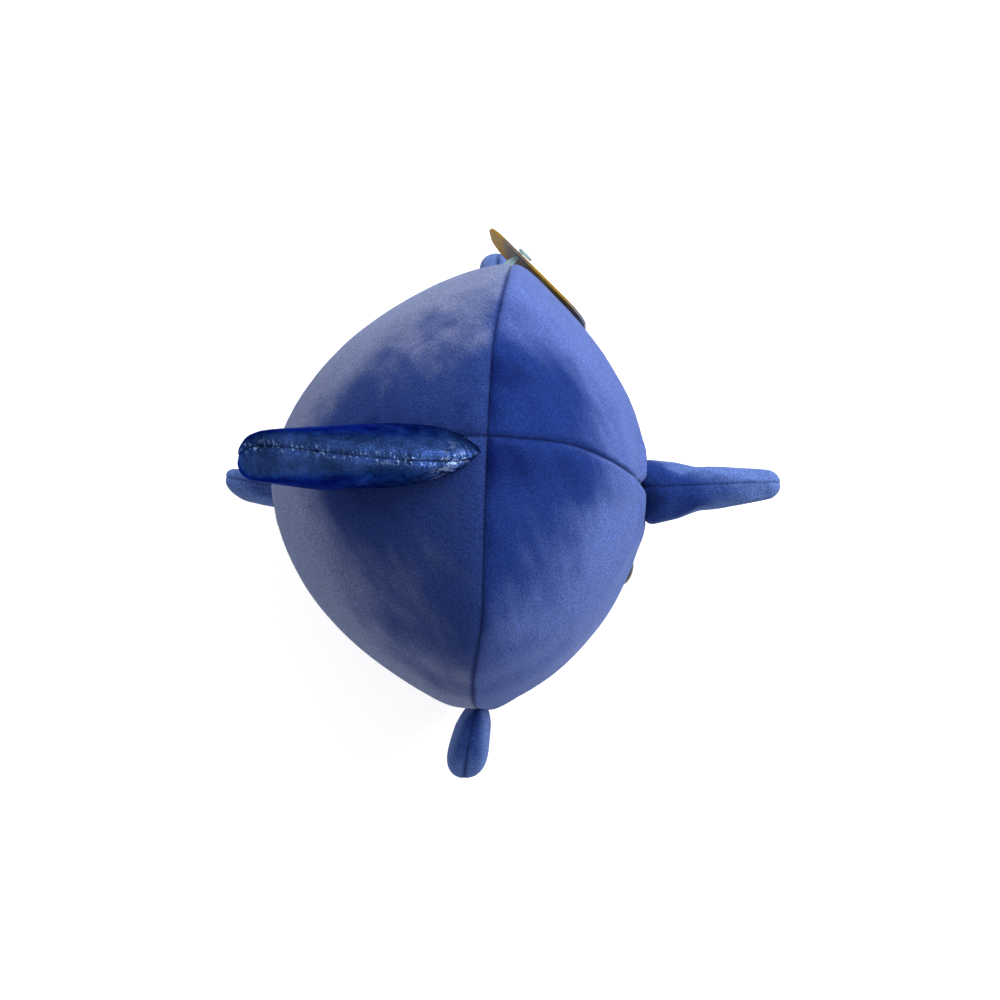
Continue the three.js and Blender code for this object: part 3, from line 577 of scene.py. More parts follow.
def smoothed(skin, levels, sharpness=0.0, cap=None):
    """The points, quads and panels of a skin, swollen where a cap is given, and smoothed."""
    mesh = mesh_of("skin", skin.points, skin.faces)
    mesh.polygons.foreach_set("material_index", skin.panels)
    piece = new_object("skin", mesh)
    if cap is not None:
        draw_in(mesh, skin.held, settings().fabric, cap / settings().fabric.body_cap)
        swell(piece, skin.held, settings().fabric, cap)
    crease_seams(mesh, sharpness)
    smoother = piece.modifiers.new("smoothing", "SUBSURF")
    smoother.levels = levels
    fine = bpy.data.meshes.new_from_object(evaluated(piece))
    points = vertex_array(fine)
    corners = np.empty(len(fine.loops), int)
    fine.loops.foreach_get("vertex_index", corners)
    panels = np.empty(len(fine.polygons), int)
    fine.polygons.foreach_get("material_index", panels)
    discard(piece)
    bpy.data.meshes.remove(fine)
    return points, corners.reshape(-1, 4), panels


def point_normals(points, quads):
    """The way out of the skin at each point."""
    corners = points[quads]
    across = np.cross(corners[:, 2] - corners[:, 0], corners[:, 3] - corners[:, 1])
    normals = np.zeros_like(points)
    for corner in range(4):
        np.add.at(normals, quads[:, corner], across)
    return normals / np.maximum(np.linalg.norm(normals, axis=1, keepdims=True), 1e-12)


def seam_edges(quads, panels):
    """The edges whose two faces belong to different panels."""
    edges = np.sort(np.stack([quads, np.roll(quads, -1, axis=1)], axis=2).reshape(-1, 2), axis=1)
    owners = np.repeat(panels, 4)
    order = np.lexsort((edges[:, 1], edges[:, 0]))
    edges = edges[order]
    owners = owners[order]
    paired = np.all(edges[:-1] == edges[1:], axis=1) & (owners[:-1] != owners[1:])
    return edges[:-1][paired]


def seam_lengths(points, edges):
    """For each point of a seam, how far along its stretch of seam it lies."""
    joined = {}
    for a, b in edges:
        joined.setdefault(int(a), []).append(int(b))
        joined.setdefault(int(b), []).append(int(a))
    along = {}
    ends = [p for p in sorted(joined) if len(joined[p]) != 2]
    for start in ends + sorted(joined):
        along.setdefault(start, 0.0)
        for first in joined[start]:
            before, here = start, first
            travelled = along[start]
            while here not in along:
                travelled += float(np.linalg.norm(points[here] - points[before]))
                along[here] = travelled
                onward = [p for p in joined[here] if p != before]
                if len(onward) != 1:
                    break
                before, here = here, onward[0]
    return along


def seam_field(points, quads, panels):
    """How far each point is from its nearest seam, and how far along that seam."""
    along = seam_lengths(points, seam_edges(quads, panels))
    tree = point_tree(points, along)
    distance = np.empty(len(points))
    travelled = np.empty(len(points))
    for i, point in enumerate(points):
        _, nearest, distance[i] = tree.find(point)
        travelled[i] = along[nearest]
    return distance, travelled


def noise_at(points, size, offset=0.0):
    """Smooth noise from about -1 to 1, with features of a given size."""
    return np.array([noise.noise(Vector(p / size) + Vector((offset, offset, offset))) for p in points])


# The section of a groove, and how unevenly the puckers beside it sway, spread and fade
GROOVE_SHARPNESS = 1.4
UNEVEN_PITCHES = 3.1
UNEVEN_DRAW = 7.3
PUCKER_SWAY = 3.4
PUCKER_SPREAD = 0.5
PUCKER_MEAN = 0.55
PUCKER_RANGE = 1.1
FAINTEST_PUCKER = 0.1


def sewn_shape(points, normals, distance, travelled, seam, deepen=1.0):
    """The points drawn in along their seams, with uneven puckers beside them."""
    groove = deepen * seam.groove_depth * np.exp(-((distance / seam.groove_width) ** GROOVE_SHARPNESS))
    along_seam = np.stack([travelled, 0 * travelled, 0 * travelled], axis=1)
    uneven = noise_at(along_seam, UNEVEN_PITCHES * seam.pucker_pitch, UNEVEN_DRAW)
    phase = 2 * np.pi * travelled / seam.pucker_pitch + PUCKER_SWAY * uneven
    reach = distance / (seam.pucker_reach * (1 + PUCKER_SPREAD * uneven))
    strength = np.clip(PUCKER_MEAN + PUCKER_RANGE * uneven, FAINTEST_PUCKER, 1)
    ripple = seam.pucker_height * np.cos(phase) * reach * np.exp(1 - reach) * strength
    return points + normals * (ripple - groove)[:, None]


def closed_panel(points, normals, quads, depth):
    """A closed shell of fabric under a patch of quads, and the numbers of its outer points."""
    used, local = np.unique(quads, return_inverse=True)
    local = local.reshape(quads.shape)
    outer = points[used]
    inner = outer - normals[used] * depth[used, None]
    size = len(used)
    starts = local.ravel()
    ends = np.roll(local, -1, axis=1).ravel()
    directed = set(zip(starts.tolist(), ends.tolist()))
    rim = [(b, a, a + size, b + size) for a, b in directed if (b, a) not in directed]
    faces = [*local.tolist(), *(local[:, ::-1] + size).tolist(), *sorted(rim)]
    return np.vstack([outer, inner]), faces, used


SHARP_EDGE = math.radians(60)


def finished(piece, material):
    """A piece in its material, shaded smooth but for its sharp edges."""
    piece.data.materials.clear()
    piece.data.materials.append(material)
    piece.data.shade_smooth()
    piece.data.set_sharp_from_angle(angle=SHARP_EDGE)
    return piece


@dataclass
class Holding:
    """The body that a piece is attached to, or for a limb the points where it would bend away from the body.

    A limb's pieces are only fixed where they stand; these points are not used.
    """
    body: str
    start: Vector = None
    end: Vector = None

    def hold(self, piece):
        if self.start is None:
            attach(piece, self.body)
        else:
            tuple(self.start)
            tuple(self.end)
            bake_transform(piece)


# The fabric's share of its thickness at a seam, and over about how many thicknesses it gains the rest
SEAM_THINNESS = 0.1
THICKENING = 2.5


def make_panels(points, normals, quads, panels, distance, nodes, material, slot, holding):
    """One closed fabric panel for each node, split from a shaped skin."""
    fabric = settings().fabric
    thickened = SEAM_THINNESS + distance / (THICKENING * fabric.thickness)
    depth = fabric.thickness * np.clip(thickened, SEAM_THINNESS, 1)
    for panel, node in enumerate(nodes):
        shell, faces, used = closed_panel(points, normals, quads[panels == panel], depth)
        piece = finished(new_object(f"{node}_fabric", mesh_of(node, shell, faces)), material)
        from_seam = piece.data.attributes.new("seam_distance", "FLOAT", "POINT")
        from_seam.data.foreach_set("value", np.tile(distance[used], 2))
        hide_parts(node)
        holding.hold(piece)


FIBRE_LUMP_SIZE = 9 * MM
FIBRE_LUMP_HEIGHT = 0.5 * MM


def make_stuffing(skin, node, holding):
    """A lumpy core of fibrefill."""
    points, quads, _ = smoothed(skin, 1)
    normals = point_normals(points, quads)
    lumps = FIBRE_LUMP_HEIGHT * (noise_at(points, FIBRE_LUMP_SIZE) - 1)
    points = points + normals * lumps[:, None]
    piece = finished(new_object(f"{node}_fibre", mesh_of(node, points, quads)), fibrefill())
    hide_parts(node)
    holding.hold(piece)


# Body surface

def seam_radius(shape, y, z, inset):
    """Distance from the middle of the upright seam's plane, as a share of the seam's own."""
    half_height = np.where(z >= 0, shape.top_rise, shape.bottom_drop) - inset
    across = (np.abs(y) / (shape.half_width - inset)) ** shape.roundness
    upright = (np.abs(z) / half_height) ** shape.roundness
    return (across + upright) ** (1 / shape.roundness)


def seam_point(shape, turn, inset=0.0):
    """Points of the upright seam, at angles from its top towards the toy's left."""
    y = np.sin(turn)
    z = np.cos(turn)
    radius = seam_radius(shape, y, z, inset)
    return y / radius, z / radius


def dome_depth(shape, depth, fullness, y, z, inset):
    """How far a half of the body stands out from the plane of the upright seam."""
    share = np.maximum(0, 1 - seam_radius(shape, y, z, inset) ** 2)
    return (depth - inset) * share ** (1 / fullness)


def bill_centre():
    """The centre of the bill's round root, on its hinge."""
    return np.array(JOINTS["bill_sway"]["pos_m"])


def bill_seat():
    """The middle of the ring where the bill's skirt meets the collar."""
    bill = settings().bill
    return bill_centre() - np.array([bill.skirt, 0, bill.skirt * math.sin(bill.pitch)])


# The collar's height below the bill against that above it, and how narrow the hollow behind it is
LOWER_LIP = 0.3
VALLEY_SHARPNESS = 2.6


def front_depth(shape, y, z, inset):
    """The face, with the collar round the bill and the hollow that the bill's root is sewn into."""
    face = dome_depth(shape, shape.front_depth, shape.front_fullness, y, z, inset)
    above = z + shape.widest_height - bill_seat()[2]
    from_bill = np.hypot(y, above)
    upper = np.clip(above / np.maximum(from_bill, HAIR), 0, 1)
    pinch = shape.pinch_depth * bell(y, shape.pinch_width)
    lip = shape.lip_height * (LOWER_LIP + (1 - LOWER_LIP) * upper) - pinch
    collar = lip * bell(from_bill - shape.lip_radius, shape.lip_width)
    valley_width = (shape.valley_radius - shape.lip_radius) / VALLEY_SHARPNESS
    valley = shape.valley_depth * upper * bell(from_bill - shape.valley_radius, valley_width)
    hollow = np.sqrt(np.maximum(0, 1 - (from_bill / (shape.socket_radius + inset)) ** 2))
    return face + collar - valley - shape.socket_depth * hollow


def back_depth(shape, y, z, inset):
    """The plain back."""
    return dome_depth(shape, shape.back_depth, shape.back_fullness, y, z, inset)


def settled(shape, height, inset):
    """Height above the floor once the toy sits on its sole."""
    free = (height - inset + shape.sole_cut) / shape.sole_softness
    return inset + np.maximum(0, shape.sole_softness * np.logaddexp(0, free) - shape.sole_cut)


def ring_distances(shape, reach, near):
    """Distances of the rings of points from a pole, out to the upright seam."""
    foot = near[-1]
    shares = np.sin(np.linspace(0, np.pi / 2, shape.rings + 1)[1:])
    return [np.full_like(reach, d) for d in near] + [foot + (reach - foot) * share for share in shares]


# Rings of points about the bill's root and the tail's root, and the points that stay put
SOCKET_RINGS = (0.4, 0.75, 0.93)
SOCKET_EDGE = 0.8 * MM
VALLEY_RINGS = (0.25, 0.5, 0.75)
FACE_RINGS = (1.15, 1.35)
BACK_RINGS = tuple(distance * MM for distance in (4, 9, 15, 22, 29))
HELD_SOLE = 3 * MM
HELD_LIP = 1 * MM


def body_skin(shape, inset):
    """The whole body's skin. Its poles lie under the bill's root and under the tail's root."""
    step = np.arange(shape.around) / shape.around
    turn = 2 * np.pi * step - shape.gathering / 2 * np.sin(4 * np.pi * step)
    rim_y, rim_z = seam_point(shape, turn, inset)
    tail = settings().tail
    socket = shape.socket_radius
    lip = shape.lip_radius
    valley = shape.valley_radius
    front_rings = (
        *(share * socket for share in SOCKET_RINGS),
        socket + inset, socket + inset + SOCKET_EDGE, lip + inset,
        *(lip + share * (valley - lip) for share in VALLEY_RINGS),
        valley, *(share * valley for share in FACE_RINGS),
    )
    bill_pole = bill_seat()[2] - shape.widest_height
    tail_pole = -shape.bottom_drop * math.sin(-(tail.top_angle + tail.bottom_angle) / 2)
    halves = ((1, bill_pole, front_depth, front_rings), (-1, tail_pole, back_depth, BACK_RINGS))
    hoops = []
    poles = []
    for sign, pole, depth_at, near in halves:
        reach = np.hypot(rim_y, rim_z - pole)
        rings = []
        for distance in ring_distances(shape, reach, near):
            y = rim_y / reach * distance
            z = pole + (rim_z - pole) / reach * distance
            x = sign * depth_at(shape, y, z, inset)
            rings.append(np.stack([x, y, settled(shape, shape.widest_height + z, inset)], axis=1))
        middle = np.array(pole)
        pole_x = sign * float(depth_at(shape, np.array(0.0), middle, inset))
        poles.append(np.array([pole_x, 0, float(settled(shape, shape.widest_height + middle, inset))]))
        hoops += rings if sign > 0 else rings[-2::-1]
    rim_hoop = len(front_rings) + shape.rings - 1

    def panel_of(hoop, at):
        return (0 if hoop < rim_hoop else 2) + (0 if at < shape.around // 2 else 1)

    def held(points):
        stays = np.zeros(len(points))
        stays[np.abs(points[:, 0]) < HAIR] = 1
        stays[np.abs(points[:, 1]) < HAIR] = 1
        stays[points[:, 2] < HELD_SOLE] = 1
        from_bill = np.linalg.norm(points[:, 1:] - bill_seat()[1:], axis=1)
        stays[(from_bill < lip + HELD_LIP) & (points[:, 0] > 0)] = 1
        return stays

    return hooped_skin(poles[0], hoops, poles[1], panel_of, held)


def back_line(shape, turn, gap):
    """Points of the middle line of the back, at angles above the widest level, and the way out at each.

    The points stand off the back by a gap."""
    def at(angles):
        z = np.where(angles >= 0, shape.top_rise, shape.bottom_drop) * np.sin(angles)
        x = -back_depth(shape, 0 * z, z, 0.0)
        return np.stack([x, 0 * z, shape.widest_height + z], axis=-1)

    tangent = at(turn + SMALL_TURN) - at(turn - SMALL_TURN)
    tangent /= np.linalg.norm(tangent, axis=-1, keepdims=True)
    outward = np.stack([-tangent[..., 2], 0 * tangent[..., 1], tangent[..., 0]], axis=-1)
    return at(turn) + gap * outward, outward


# Where the seams stray: from where a bend begins to where it is full, or its reach to both sides
TAG_BEND_SIDE = (25 * MM, 85 * MM)
TAG_BEND_HEIGHT = (80 * MM, 112 * MM)
TAG_BEND_REACH = 15 * MM
FIN_BEND_SIDE = (55 * MM, 88 * MM)
FIN_BEND_HEIGHT = (66 * MM, 84 * MM)
FIN_BEND_REACH = 20 * MM
FIN_TUCK_REACH = 11 * MM
BILL_BEND_MIDDLE = 30 * MM
BILL_BEND_REACH = 18 * MM
BILL_BEND_WIDTH = 20 * MM
BILL_BEND_HEIGHT = (120 * MM, 150 * MM)


def strayed_seams(points, shape):
    """The skin with its seams bent where the real ones stray.

    The upright seam bends by the tag and above the right fin, and the middle seam above the bill."""
    points = np.array(points)
    x, y, z = points.T.copy()
    by_tag = eased(y, *TAG_BEND_SIDE) * eased(z, *TAG_BEND_HEIGHT) * bell(x, TAG_BEND_REACH)
    over_fin = eased(-y, *FIN_BEND_SIDE) * eased(z, *FIN_BEND_HEIGHT)
    over_bill = bell(x - BILL_BEND_MIDDLE, BILL_BEND_REACH) * bell(y, BILL_BEND_WIDTH)
    points[:, 0] += shape.upright_stray * by_tag
    points[:, 0] -= shape.corner_stray * over_fin * bell(x, FIN_BEND_REACH)
    points[:, 1] += shape.corner_tuck * over_fin * bell(x, FIN_TUCK_REACH)
    points[:, 1] += shape.middle_stray * over_bill * eased(z, *BILL_BEND_HEIGHT)
    return points


# The length, start and width of the folds of the face, where the width is a turn about the bill
FOLD_STRETCH = 90 * MM
FOLD_START = 6 * MM
FOLD_WIDTH = 0.28
FOLD_DRAW = 2.2


def collar_folds(points, shape):
    """Soft folds that run out from the collar over the face."""
    offset = points - bill_seat()
    away = np.hypot(offset[:, 1], offset[:, 2])
    turn = np.arctan2(offset[:, 1], offset[:, 2])
    unrolled = np.stack([np.cos(turn), np.sin(turn), away / FOLD_STRETCH], axis=1)
    near = np.clip((away - shape.lip_radius) / FOLD_START, 0, 1) * bell(away, shape.fold_reach)
    folds = shape.fold_height * near * noise_at(unrolled, FOLD_WIDTH, FOLD_DRAW)
    return np.where(points[:, 0] > 0, folds, 0)


def eye_frame(side):
    """Where an eye sits: the middle of its washer, and the way that it faces."""
    washer = vertex_array(frame["nodes"][f"{side}_eye_washer"].data)
    _, _, ways = np.linalg.svd(washer - washer.mean(0), full_matrices=False)
    outward = ways[2] if ways[2][0] > 0 else -ways[2]
    return washer.mean(0), outward


def eye_dimples(points, eye):
    """How far the two eyes press the face in."""
    pressed = np.zeros(len(points))
    for side in ("left", "right"):
        middle, outward = eye_frame(side)
        offset = points - middle
        along = offset @ outward
        away = np.linalg.norm(offset - along[:, None] * outward, axis=1)
        pressed += np.where(points[:, 0] > 0, eye.dimple_depth * bell(away, eye.dimple_radius), 0)
    return pressed


# Limb surfaces

def bezier(points, t):
    """A Bezier curve of any degree, for an array of shares."""
    points = [np.asarray(p, float) for p in points]
    rows = [np.broadcast_to(p, (*t.shape, 3)) for p in points]
    while len(rows) > 1:
        rows = [a + (b - a) * t[..., None] for a, b in zip(rows, rows[1:])]
    return rows[0]


def pad_middle(first_edge, second_edge, root_at):
    """A middle surface between two edge curves, whose root follows the body."""
    first = root_at(np.array(0.0))
    second = root_at(np.array(1.0))

    def middle(t, c):
        t, c = np.broadcast_arrays(t, c)
        share = c[..., None]
        straight = first + (second - first) * share
        bulge = (root_at(c) - straight) * ((1 - t) ** 2)[..., None]
        near = bezier(first_edge, t)
        return near + (bezier(second_edge, t) - near) * share + bulge

    return middle


def pad_half(shape, span, inset, nose=0.0):
    """Half thickness of a pad: round at the root and the tip, drawn in to the seam along both edges.

    A nose draws the first edge to a point near the root."""
    fullness = settings().limb.fullness

    def half(t, c):
        pointed = nose * (1 - t) ** 2 * (c < 0.5)
        edge = np.maximum(0, 1 - (2 * c - 1) ** 2) ** (fullness + pointed)
        root = np.sqrt(1 - np.maximum(0, 1 - t * span / shape.root_radius) ** 2)
        tip = np.sqrt(1 - np.maximum(0, 1 - (1 - t) * span / shape.tip_taper) ** 2)
        whole = (shape.root_half + (shape.tip_half - shape.root_half) * t) * edge * root * tip
        return np.maximum(HAIR, whole - inset) if inset else whole

    return half


def shifted(point, x=0.0, y=0.0, z=0.0):
    """A point moved along the axes."""
    return np.asarray(point) + np.array([x, y, z])


# The size of small lumps against broad ones, the lumps of a fin, and its crumpled corner
FINE_LUMPS = 0.4
FIN_LUMPINESS = 0.4
FIN_DRAW = 3.7
CRUMPLE_AT = 0.2
CRUMPLE_REACH = 13 * MM
CRUMPLE_SIZE = 4.5 * MM
CRUMPLE_DRAW = 8.4


def sewn_limb(skin, levels, seam, lumpiness, draw=0.0):
    """A limb's skin, swollen, smoothed, drawn in along its seams and made lumpy.

    Gives its points, normals, quads and panels, and each point's distance from the seams."""
    fabric = settings().fabric
    points, quads, panels = smoothed(skin, levels, cap=fabric.limb_cap)
    normals = point_normals(points, quads)
    distance, travelled = seam_field(points, quads, panels)
    points = sewn_shape(points, normals, distance, travelled, seam)
    lumps = lumpiness * fabric.lump_height * noise_at(points, FINE_LUMPS * fabric.lump_size, draw)
    points += normals * lumps[:, None]
    return points, normals, quads, panels, distance


def make_fin(middle, half_for, across, rounding, nodes, material, slot, seam, holding,
             crumple=0.0, slide=None):
    """The two panels and the stuffing of a fin, for the nodes of its panels and then of its stuffing.

    It may be crumpled where its first edge leaves the body, and its seam may slide round that edge."""
    fabric = settings().fabric
    steps = settings().limb.steps
    skin = pad_skin(middle, half_for(0.0), across, steps, rounding, slide=slide)
    points, normals, quads, panels, distance = sewn_limb(skin, 3, seam, FIN_LUMPINESS, FIN_DRAW)
    if crumple:
        corner = middle(np.array([[CRUMPLE_AT]]), np.array([[0.0]]))[0, 0]
        near = bell(np.linalg.norm(points - corner, axis=1), CRUMPLE_REACH)
        points += normals * (crumple * near * noise_at(points, CRUMPLE_SIZE, CRUMPLE_DRAW))[:, None]
    make_panels(points, normals, quads, panels, distance, nodes[:2], material, slot, holding)
    covering = fabric.thickness + fabric.gap + seam.groove_depth + fabric.allowance
    core = pad_skin(middle, half_for(covering), across, steps, rounding, margin=covering)
    make_stuffing(core, nodes[2], holding)


def hinged(body, joint, outward, before, after):
    """The holding of a limb, with points a little inside and a little outside its hinge."""
    hinge = Vector(JOINTS[joint]["pos_m"])
    way = Vector(outward).normalized()
    return Holding(body, hinge - before * way, hinge + after * way)


# Materials

class NodeSheet:
    """A material's nodes, with the object's own coordinates at hand."""

    def __init__(self, name):
        self.material = bpy.data.materials.new(name)
        self.material.use_nodes = True
        self.tree = self.material.node_tree
        self.tree.nodes.clear()
        self.shader = self.add("ShaderNodeBsdfPrincipled")
        output = self.add("ShaderNodeOutputMaterial")
        self.link(self.shader.outputs["BSDF"], output.inputs["Surface"])
        self.place = self.add("ShaderNodeTexCoord").outputs["Object"]

    def add(self, kind, **values):
        """A new node with its settings."""
        node = self.tree.nodes.new(kind)
        for key, value in values.items():
            setattr(node, key, value)
        return node

    def link(self, source, target):
        self.tree.links.new(source, target)

    def feed(self, socket, value):
        """Gives a socket another socket, a colour or a number."""
        if isinstance(value, bpy.types.NodeSocket):
            self.link(value, socket)
        else:
            socket.default_value = (*value, 1) if hasattr(value, "__len__") else value

    def stretched(self, scale, turn):
        """The object's coordinates, turned and then stretched."""
        mapping = self.add("ShaderNodeMapping", vector_type="TEXTURE")
        mapping.inputs["Scale"].default_value = scale
        mapping.inputs["Rotation"].default_value = turn
        self.link(self.place, mapping.inputs["Vector"])
        return mapping.outputs["Vector"]

    def noise(self, size, detail=2.0, rough=0.5, warp=0.0, where=None):
        """Noise with features of a given size."""
        node = self.add("ShaderNodeTexNoise")
        node.inputs["Scale"].default_value = 1 / size
        node.inputs["Detail"].default_value = detail
        node.inputs["Roughness"].default_value = rough
        node.inputs["Distortion"].default_value = warp
        self.link(where or self.place, node.inputs["Vector"])
        return node.outputs["Fac"]

    def ramp(self, source, stops):
        """Colours or greys by place along a ramp."""
        node = self.add("ShaderNodeValToRGB")
        node.color_ramp.interpolation = "EASE"
        while len(node.color_ramp.elements) < len(stops):
            node.color_ramp.elements.new(0.5)
        for element, (at, value) in zip(node.color_ramp.elements, stops):
            element.position = at
            element.color = (*value, 1) if hasattr(value, "__len__") else (value, value, value, 1)
        self.link(source, node.inputs["Fac"])
        return node.outputs["Color"]

    def mixed(self, kind, share, first, second):
        """Two colours mixed by a share, which is a number or a socket."""
        node = self.add("ShaderNodeMix", data_type="RGBA", blend_type=kind)
        for socket, value in ((0, share), (6, first), (7, second)):
            self.feed(node.inputs[socket], value)
        return node.outputs[2]

    def share(self, source, low, high):
        """0 to 1 as a value goes from low to high."""
        node = self.add("ShaderNodeMapRange")
        node.inputs["From Min"].default_value = low
        node.inputs["From Max"].default_value = high
        self.link(source, node.inputs["Value"])
        return node.outputs["Result"]

    def share_along(self, axis, low, high):
        """0 to 1 along one of the object's axes."""
        parts = self.add("ShaderNodeSeparateXYZ")
        self.link(self.place, parts.inputs["Vector"])
        return self.share(parts.outputs[axis], low, high)

    def near_point(self, point, reach):
        """1 at a point of the object, falling to 0 at a reach."""
        away = self.add("ShaderNodeVectorMath", operation="DISTANCE")
        self.link(self.place, away.inputs[0])
        away.inputs[1].default_value = point
        share = self.add("ShaderNodeMapRange", interpolation_type="SMOOTHSTEP")
        share.inputs["From Max"].default_value = reach
        share.inputs["To Min"].default_value = 1
        share.inputs["To Max"].default_value = 0
        self.link(away.outputs["Value"], share.inputs["Value"])
        return share.outputs["Result"]

    def from_seam(self, reach, stops):
        """Greys by distance from the nearest seam, out to a reach."""
        distance = self.add("ShaderNodeAttribute", attribute_name="seam_distance")
        return self.ramp(self.share(distance.outputs["Fac"], 0.0, reach), stops)

    def sum_of(self, first, other, amount, middle=0.5):
        """A value with another added, taken about its middle."""
        centred = self.add("ShaderNodeMath", operation="SUBTRACT")
        self.link(other, centred.inputs[0])
        centred.inputs[1].default_value = middle
        scaled = self.add("ShaderNodeMath", operation="MULTIPLY_ADD")
        self.link(centred.outputs[0], scaled.inputs[0])
        scaled.inputs[1].default_value = 2 * amount
        self.feed(scaled.inputs[2], first)
        return scaled.outputs[0]

    def bump(self, height, strength, distance, under=None):
        """Fine relief that only the light sees, over another where one is given."""
        node = self.add("ShaderNodeBump")
        node.inputs["Strength"].default_value = strength
        node.inputs["Distance"].default_value = distance
        self.link(height, node.inputs["Height"])
        if under is not None:
            self.link(under, node.inputs["Normal"])
        return node.outputs["Normal"]

    def set(self, **values):
        """Sets the finish, by the names of the shader's sockets."""
        for key, value in values.items():
            self.feed(self.shader.inputs[key.replace("_", " ")], value)


def once(make):
    """Makes a material the first time it is asked for."""
    def wrapped(*args):
        name = "_".join(["swordfish", make.__name__, *args])
        return bpy.data.materials.get(name) or make(*args, name=name)
    return wrapped


def tone(name):
    """One of the colours in use."""
    return tuple(getattr(settings().colours, name))


def shaded(tint, share):
    """A colour, darkened or lightened."""
    return tuple(share * v for v in tint)


# How dark the fabric is painted by its distance from a seam, as a share of a reach: the seam's own dark
# line, with painted shade in its groove
SEAM_SHADE = ((0.0, 0.34), (0.35, 0.76), (1.0, 1.0))
SOFT_SEAM_SHADE = ((0.0, 0.50), (0.5, 0.85), (1.0, 1.0))

# How pale each family of panels is painted, added up from ramps: an axis, its ends and its stops.
# Partly the pile's own way on each panel, partly painted light: painted sheen paler towards the outline
# as seen from above, painted shade on the right side of the back and of the bill, and painted light on
# the bill's tip and on the tail
PILE_AND_PAINTED_LIGHT = {
    "front": (("Y", -BODY_HIGH.y, BODY_HIGH.y,
               ((0.0, 0.36), (0.37, 0.29), (0.455, 0.07), (0.485, 0.08),
                (0.515, 0.18), (0.63, 0.06), (0.76, 0.37), (1.0, 0.40))),
              ("X", 0.0, 62 * MM, ((0.0, 0.02), (0.45, 0.03), (0.75, 0.26), (1.0, 0.44)))),
    "back": (("Y", -BODY_HIGH.y, BODY_HIGH.y,
              ((0.0, 0.0), (0.14, 0.14), (0.30, 0.30), (0.485, 0.31),
               (0.515, 0.20), (0.75, 0.24), (1.0, 0.32))),
             ("X", BODY_LOW.x, 0.0, ((0.0, 0.20), (0.4, 0.05), (0.75, 0.03), (1.0, 0.05))),
             ("Z", 20 * MM, 190 * MM,
              ((0.0, 0.04), (0.28, 0.20), (0.44, 0.34), (0.69, 0.12), (0.86, 0.0), (1.0, 0.0)))),
    "bill": (("X", 60 * MM, 113 * MM, ((0.0, 0.0), (0.3, 0.25), (0.75, 0.53), (1.0, 0.92))),
             ("Y", -12 * MM, 4 * MM, ((0.0, 0.0), (0.25, 0.0), (0.75, 0.10), (1.0, 0.10)))),
    "tail": (("X", -115 * MM, BODY_LOW.x, ((0.0, 0.86), (1.0, 0.62))),),
    "limb": (("Y", -BODY_HIGH.y, BODY_HIGH.y, ((0.0, 0.40), (0.485, 0.38), (0.515, 0.42), (1.0, 0.40))),),
}


@once
def velour(family, name):
    """Short brushed pile, lying its own way on each panel, in cloudy patches, with a fine grain.

    Its colour holds painted light: a painted sheen where it is seen from the side, painted sheen and shade
    by place on each panel, and a painted shadow under the dorsal fin. Its seams are dark, partly painted
    shade."""
    palette = family if family in ("front", "back") else "limb"
    deep, mid, pale = (tone(f"{palette}_{shade}") for shade in ("deep", "mid", "pale"))
    seam_shade = SOFT_SEAM_SHADE if palette == "limb" else SEAM_SHADE
    sheet = NodeSheet(name)
    paleness = 0.0
    # Paleness by place, ramp by ramp: partly the pile's own way, partly painted sheen, light and shade
    for axis, low, high, stops in PILE_AND_PAINTED_LIGHT[family]:
        axis_paleness = sheet.ramp(sheet.share_along(axis, low, high), stops)
        paleness = sheet.sum_of(paleness, axis_paleness, 0.5, middle=0.0)
    patches = sheet.noise(44 * MM, detail=2, rough=0.45)
    smudges = sheet.noise(15 * MM, detail=3, rough=0.5, warp=0.5)
    brushed = sheet.stretched((0.7, 2.6, 1.4), (0.25, 0.2, 0.63))
    strokes = sheet.noise(11 * MM, detail=3, rough=0.5, where=brushed)
    # Layer Weight's facing, for a sheen painted into the colour
    pile = sheet.add("ShaderNodeLayerWeight")
    pile.inputs["Blend"].default_value = 0.5
    calm = sheet.ramp(sheet.share_along("Y", -BODY_HIGH.y, BODY_HIGH.y), ((0.35, 0.3), (0.60, 1.0)))
    smudged = sheet.mixed("MIX", calm, (0.5, 0.5, 0.5), smudges)
    paleness = sheet.sum_of(paleness, patches, 0.20)
    paleness = sheet.sum_of(paleness, smudged, 0.23 if family == "back" else 0.12)
    paleness = sheet.sum_of(paleness, strokes, 0.18)
    # Painted sheen: paler where the surface is seen from the side, with less of it near the seams
    off_seam = sheet.from_seam(2.0 * MM, ((0.0, 0.4), (1.0, 1.0)))
    painted_sheen = sheet.mixed("MULTIPLY", 1.0, pile.outputs["Facing"], off_seam)
    paleness = sheet.sum_of(paleness, painted_sheen, 0.36, middle=0.0)
    # A shadow of the dorsal fin, painted darker on the back's velour
    if family == "back":
        fin_shadow = sheet.near_point(tuple(settings().dorsal.crushed_nap), 44 * MM)
        paleness = sheet.sum_of(paleness, fin_shadow, -0.20, middle=0.0)
    cloudy = sheet.ramp(paleness, ((0.05, deep), (0.40, mid), (0.95, pale)))
    grain = sheet.noise(0.56 * MM, detail=2, rough=0.75)
    speckled = sheet.mixed("MULTIPLY", 1.0, cloudy, sheet.ramp(grain, ((0.36, 0.46), (0.68, 1.0))))
    tufts = sheet.noise(2.2 * MM, detail=2)
    piled = sheet.bump(tufts, 0.25, 0.6 * MM)
    # Near the seams the colour darkens: the seam's own dark line, with painted shade in its groove
    sheet.set(
        Base_Color=sheet.mixed("MULTIPLY", 1.0, speckled, sheet.from_seam(0.9 * MM, seam_shade)),
        Roughness=0.9, Specular_IOR_Level=0.05, Sheen_Weight=0.35,
        Sheen_Roughness=0.3, Sheen_Tint=tone("sheen"),
        Normal=sheet.bump(grain, 0.6, 0.35 * MM, under=piled),
    )
    return sheet.material


